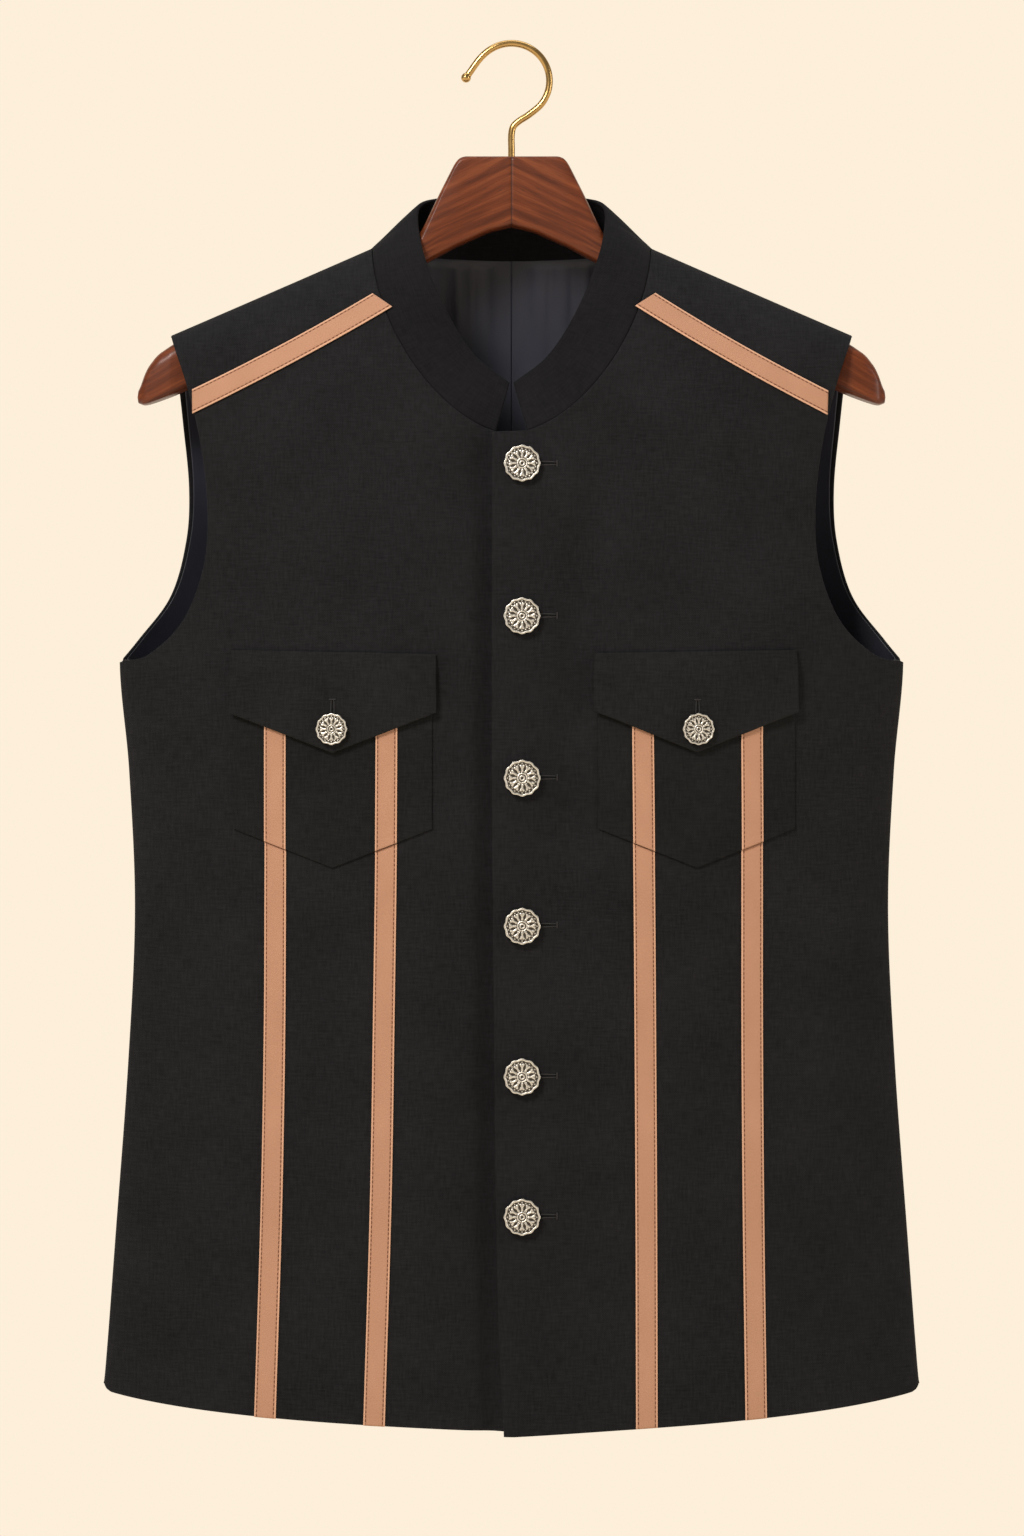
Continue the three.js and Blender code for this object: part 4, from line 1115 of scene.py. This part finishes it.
def button_piece(name, side, x, z, lift, radius, lobe, thick, shank):
    """One profile carried round the axis: face, rim, back and shank. The outline has twelve shallow lobes."""
    panel = panel_of(side)
    around = np.linspace(0, 2 * np.pi, 97)[:-1]
    face_r = np.linspace(0, 1, 44)[1:]
    share = np.concatenate([face_r * 0.97, [0.99, 1.0, 1.0, 0.985, 0.95, 0.2, 0.18, 0.18]])[:, None]
    under = [0.12, 0.35, thick - 0.5, thick - 0.15, thick, thick, thick + 0.3, thick + shank]
    depth = np.concatenate([0 * face_r, under])
    outline = radius - lobe * (1 - np.cos(12 * around))
    height, raised = button_relief(share, around[None, :])
    on_face = np.arange(len(share))[:, None] < len(face_r)
    height = np.where(on_face, height, np.where(depth[:, None] < 0.5, 0.55, 0))
    raised = np.where(on_face, raised, 0.8)
    out = lift + shank + thick - 0.55 - depth[:, None] + height
    r = share * outline
    foot, normal = on_front(panel, x * side, z)
    across = np.cross(normal, [0, 0, 1.0])
    across /= np.linalg.norm(across)
    up = np.cross(across, normal)
    turned = (
        foot
        + across * (r * np.sin(around))[..., None]
        + up * (r * np.cos(around))[..., None]
        + normal * out[..., None]
    )
    centre = foot + normal * (lift + shank + thick - 0.8)
    points, faces = closed_round(turned, centre, foot + normal * (lift - 0.55))
    # Each quad begins at its next corner, so that it splits along the other diagonal.
    faces = [face[1:] + face[:1] for face in faces]
    relief = np.concatenate([raised.ravel(), [0, 0.5]])
    put(name + "_cast", points, faces, [SILVER], [name], None, None, relief)


for i, z in enumerate(BUTTON_HEIGHTS):
    button_piece(f"button_{i + 1}", 1, BUTTON_X, z, SHANK_FOOT, 11.1, 0.3, 2.6, 1.6)
for side, (x, z) in POCKET_BUTTONS.items():
    name = f"button_flap_{POCKETS[side]['name']}"
    button_piece(name, side, x, z, FLAP_LIFT + FLAP_WALL + SHANK_FOOT, 9.6, 0.26, 2.4, 1.2)


# ---------- buttonholes ----------
def bar(path, side, out, radius, high, count=24):
    """A corded edge: an ellipse carried along path(t) = (x, z) on a front, closed at its ends."""
    t = np.linspace(0, 1, count)
    panel = panel_of(side)
    x, z = path(t)
    centre, normal = on_front(panel, x * side, z, out)
    tangent = np.gradient(centre, axis=0)
    tangent /= np.linalg.norm(tangent, axis=-1, keepdims=True)
    across = np.cross(normal, tangent)
    ends = np.sqrt(np.clip(1 - (2 * t - 1) ** 8, 0.02, 1))
    ring = np.linspace(0, 2 * np.pi, 9)[:-1]
    points = (
        centre[:, None]
        + across[:, None] * (np.cos(ring)[None, :] * ends[:, None] * radius)[..., None]
        + normal[:, None] * (np.sin(ring)[None, :] * ends[:, None] * high)[..., None]
    )
    k = np.arange(8)
    n = (k + 1) % 8
    faces = []
    for j in range(0, (count - 1) * 8, 8):
        faces += [[j + a, j + b, j + 8 + b, j + 8 + a] for a, b in zip(k, n)]
    faces += [list(range(7, -1, -1)), list(range((count - 1) * 8, count * 8))]
    return points.reshape(-1, 3), faces


def buttonhole(name, side, x, z, upright, out, long, gap=0.75, bar_wide=2.3):
    """Two corded rims with a near-black cord between them, painted shade in the slit, and a bar tack across
    the far end.
    """

    def turn(a, b):
        """a along the hole from the button, b across it."""
        return (x + b, z + a) if upright else (x + a * side, z + b)

    def rim(sign):
        return lambda t: turn(long * t, sign * gap * (1 + 0.35 * np.sin(np.pi * t)))

    cords = [
        (0, bar(rim(-1), side, out, 0.42, 0.34)),
        (0, bar(rim(1), side, out, 0.42, 0.34)),
        (0, bar(lambda t: turn(long + 0 * t, mix(-bar_wide, bar_wide, t)), side, out + 0.1, 0.5, 0.4, 12)),
        # Painted shade: the near-black cord along the slit.
        (1, bar(lambda t: turn(long * t, 0 * t), side, out - 0.1, 0.5, 0.2)),
    ]
    points, faces, which = [], [], []
    for material, (p, f) in cords:
        first = sum(len(q) for q in points)
        points.append(p)
        faces += [[i + first for i in face] for face in f]
        which += [material] * len(f)
    put(name, np.concatenate(points), faces, [BLACK_THREAD, SLIT_PAINTED_SHADE], (), None, which)


for i, z in enumerate(BUTTON_HEIGHTS):
    buttonhole(f"buttonhole_{i + 1}", 1, BUTTON_X, z + 0.4, False, 0.12, 21.0)
for side, (x, z) in POCKET_BUTTONS.items():
    name = f"buttonhole_flap_{POCKETS[side]['name']}"
    buttonhole(name, side, x, z, True, FLAP_LIFT + FLAP_WALL + 0.12, 17.6)

# ---------- hanger ----------
HANGER = columns(
    "x top low half round",
    (0, -67.6, -109.9, 9, 2.5),
    (13.5, -67.6, -113, 9, 2.5),
    (29.5, -67.6, -120.3, 9, 2.5),
    (33.5, -69.8, -122, 9.1, 4),
    (44, -90.3, -127.6, 9.3, 6),
    (56, -115.2, -134, 9.8, 8),
    (85, -127.8, -149.5, 11, 9),
    (125, -145.4, -171, 12.2, 10),
    (165, -163.1, -192.5, 12.8, 10),
    (192, -175.4, -207.2, 12.8, 10),
    (206, -183.2, -213.6, 12.4, 9),
    (215, -189.4, -217, 11.6, 8),
    (221.5, -198, -219.2, 10, 6),
    (225.2, -208, -219.4, 7.6, 4),
    (226.6, -213, -217.6, 5, 2),
)


HANGER_LOW_ROUND, MITRE = 3.0, 0.25


def softened(key, x, over=2.0):
    """A column of the hanger's table with its corners rounded, by averaging over a few millimetres."""
    shift = np.linspace(-over, over, 9)
    return np.mean([np.interp(np.clip(x + s, 0, None), HANGER["x"], HANGER[key]) for s in shift], axis=0)


def hanger_piece():
    """Upright sections along x: rounded rectangles, their upper corners rounder than the lower ones."""
    middle, end = [0, 0.25, 0.6, 1.5], HANGER["x"][-1]
    arm, tip = np.linspace(62, 200, 60), np.linspace(201.5, end, 30)
    half_x = np.concatenate([middle, np.linspace(3, 60, 70), arm, tip])
    x = np.concatenate([-half_x[:0:-1], half_x])
    a = np.abs(x)
    cusp = np.interp(a, [0, 13.5], [1, 0])
    low = mix(softened("low", a), np.interp(a, HANGER["x"], HANGER["low"]), cusp)
    top, half, rnd = softened("top", a), softened("half", a), softened("round", a)
    half = half - MITRE * np.exp(-((a / 0.4) ** 2))
    upper = np.minimum(rnd * 0.8, half * 0.8)[:, None], np.minimum(rnd, (top - low) * 0.45)[:, None]
    lz = np.minimum(HANGER_LOW_ROUND, (top - low) * 0.3)
    lower = np.minimum(lz, half * 0.8)[:, None], lz[:, None]
    arc = np.linspace(0, np.pi / 2, 8)
    corners = []
    for sy, up in ((1, 1), (-1, 1), (-1, -1), (1, -1)):
        turn = arc if sy * up > 0 else arc[::-1]
        ry, rz = upper if up > 0 else lower
        y = sy * (half[:, None] - ry * (1 - np.cos(turn)))
        z = (top if up > 0 else low)[:, None] - up * rz * (1 - np.sin(turn))
        corners.append(np.stack([y, z], -1))
    ring = np.concatenate(corners, axis=1)
    middle_y = ridge_y(np.minimum(a, TIP_X))[:, None]
    points = np.stack([x[:, None] + 0 * ring[..., 0], middle_y + ring[..., 0], ring[..., 1]], -1)
    crown = np.array([0.8, 0, 0])
    points, faces = closed_round(points, points[0].mean(0) - crown, points[-1].mean(0) + crown)
    put("hanger_wood", points, faces, [WALNUT], ["hanger"])


hanger_piece()

# ---------- hook ----------
WIRE, BOW, BALL = 2.1, 23.9, 3.0
STEM_FOOT = -87.6


def hook_line():
    """The wire's middle: a bow that opens a little at its free end and closes a little towards the stem."""
    angle = np.linspace(174, -42, 23)
    opened = np.maximum((angle - 90) / 84, 0) ** 6 * 4
    closed = np.maximum((90 - angle) / 135, 0) ** 2 * 1.7
    r, a = BOW + opened - closed, np.radians(angle)
    x = np.concatenate([r * np.cos(a), [10, 4.8, 1.2, 0, 0, 0, 0]])
    z = np.concatenate([WIRE - BOW + r * np.sin(a), [-41.9, -45.2, -48.6, -53.5, -62, -75, STEM_FOOT]])
    run = np.concatenate([[0], np.cumsum(np.hypot(np.diff(x), np.diff(z)))])
    table = {"s": run, "x": x, "z": z}
    s = np.linspace(0, run[-1], 300)
    return smooth(table, "s", "x", s), smooth(table, "s", "z", s), s


def hook_piece():
    """A circle carried along that line; at the free end its radius follows a ball's."""
    x, z, s = hook_line()
    lead = np.linspace(-BALL, -0.2, 14)
    dx, dz = (x[1] - x[0]) / s[1], (z[1] - z[0]) / s[1]
    x, z = np.concatenate([x[0] + lead * dx, x]), np.concatenate([z[0] + lead * dz, z])
    s = np.concatenate([lead, s])
    ball = np.sqrt(np.clip(BALL**2 - s**2, 0, None))
    radius = np.where(s < 0, np.maximum(ball, 0.05), np.maximum(ball, WIRE))
    tx, tz = np.gradient(x), np.gradient(z)
    size = np.hypot(tx, tz)
    nx, nz = -tz / size, tx / size
    ring = np.linspace(0, 2 * np.pi, 21)[:-1]
    c, y = np.cos(ring)[None, :] * radius[:, None], np.sin(ring)[None, :] * radius[:, None]
    points = np.stack([x[:, None] + nx[:, None] * c, y, z[:, None] + nz[:, None] * c], -1)
    points, faces = closed_round(points, points[0].mean(0), points[-1].mean(0))
    put("hook_wire", points, faces, [BRASS], ["hook"])


hook_piece()


# ---------- stage ----------
CREAM = (0.982, 0.863, 0.701)


def backdrop():
    """Floor and wall in one sheet: a profile in y and z with a rounded foot, carried along x."""
    bend = np.linspace(-np.pi / 2, 0, 17)
    floor, foot, radius, high, half = -1.25, 5.0, 1.0, 6.0, 9.0
    y = np.concatenate([[-half], foot + radius * np.cos(bend), [foot + radius]])
    z = np.concatenate([[floor], floor + radius + radius * np.sin(bend), [high]])
    x = np.array([-half, half])
    points = np.stack(np.broadcast_arrays(x[None, :], y[:, None], z[:, None]), -1)
    mesh = bpy.data.meshes.new("backdrop")
    mesh.from_pydata(points.reshape(-1, 3).tolist(), [], grid_faces(len(y), 2).tolist())
    mesh.polygons.foreach_set("use_smooth", np.ones(len(mesh.polygons), bool))
    f = Finish("cream_paper")
    glow = f.add("ShaderNodeEmission", None, {"Color": (*CREAM, 1), "Strength": 1.0})
    f.add("ShaderNodeOutputMaterial", None, {"Surface": glow.outputs[0]})
    mesh.materials.append(f.material)
    sheet = bpy.data.objects.new("backdrop", mesh)
    bpy.context.scene.collection.objects.link(sheet)


def light(name, place, aim, size, power, colour=(1, 1, 1)):
    lamp = bpy.data.lights.new(name, "AREA")
    lamp.shape = "RECTANGLE"
    lamp.size, lamp.size_y = size
    lamp.energy, lamp.color = power, colour
    thing = bpy.data.objects.new(name, lamp)
    thing.location = place
    way = np.array(place) - np.array(aim)
    thing.rotation_euler = (
        math.acos(way[2] / np.linalg.norm(way)),
        0,
        math.atan2(way[1], way[0]) + math.pi / 2,
    )
    bpy.context.scene.collection.objects.link(thing)


def studio():
    scene = bpy.context.scene
    scene.view_settings.view_transform = "Standard"
    world = bpy.data.worlds.new("studio")
    world.use_nodes = True
    world.node_tree.nodes["Background"].inputs[0].default_value = (1.0, 0.965, 0.92, 1)
    world.node_tree.nodes["Background"].inputs[1].default_value = 0.25
    scene.world = world
    light("key", (-1.1, -2.1, 1.2), (0, 0, -0.42), (0.7, 0.7), 52, (1, 0.985, 0.97))
    light("fill_left", (-2.2, -1.6, -0.1), (0, 0, -0.45), (1.0, 2.0), 3, (1, 0.98, 0.96))
    light("fill_right", (2.5, -1.3, 0.2), (0, 0, -0.45), (0.6, 1.4), 15, (1, 0.98, 0.96))
    light("top", (0, 0.1, 1.5), (0, 0, -0.2), (1.6, 0.8), 10)
    lens = bpy.data.cameras.new("camera")
    lens.lens, lens.sensor_width = 135, 36
    camera = bpy.data.objects.new("camera", lens)
    camera.location = (0.0003, -3.514, -0.440)
    camera.rotation_euler = (math.pi / 2, 0, 0)
    scene.collection.objects.link(camera)
    scene.camera = camera


backdrop()
studio()
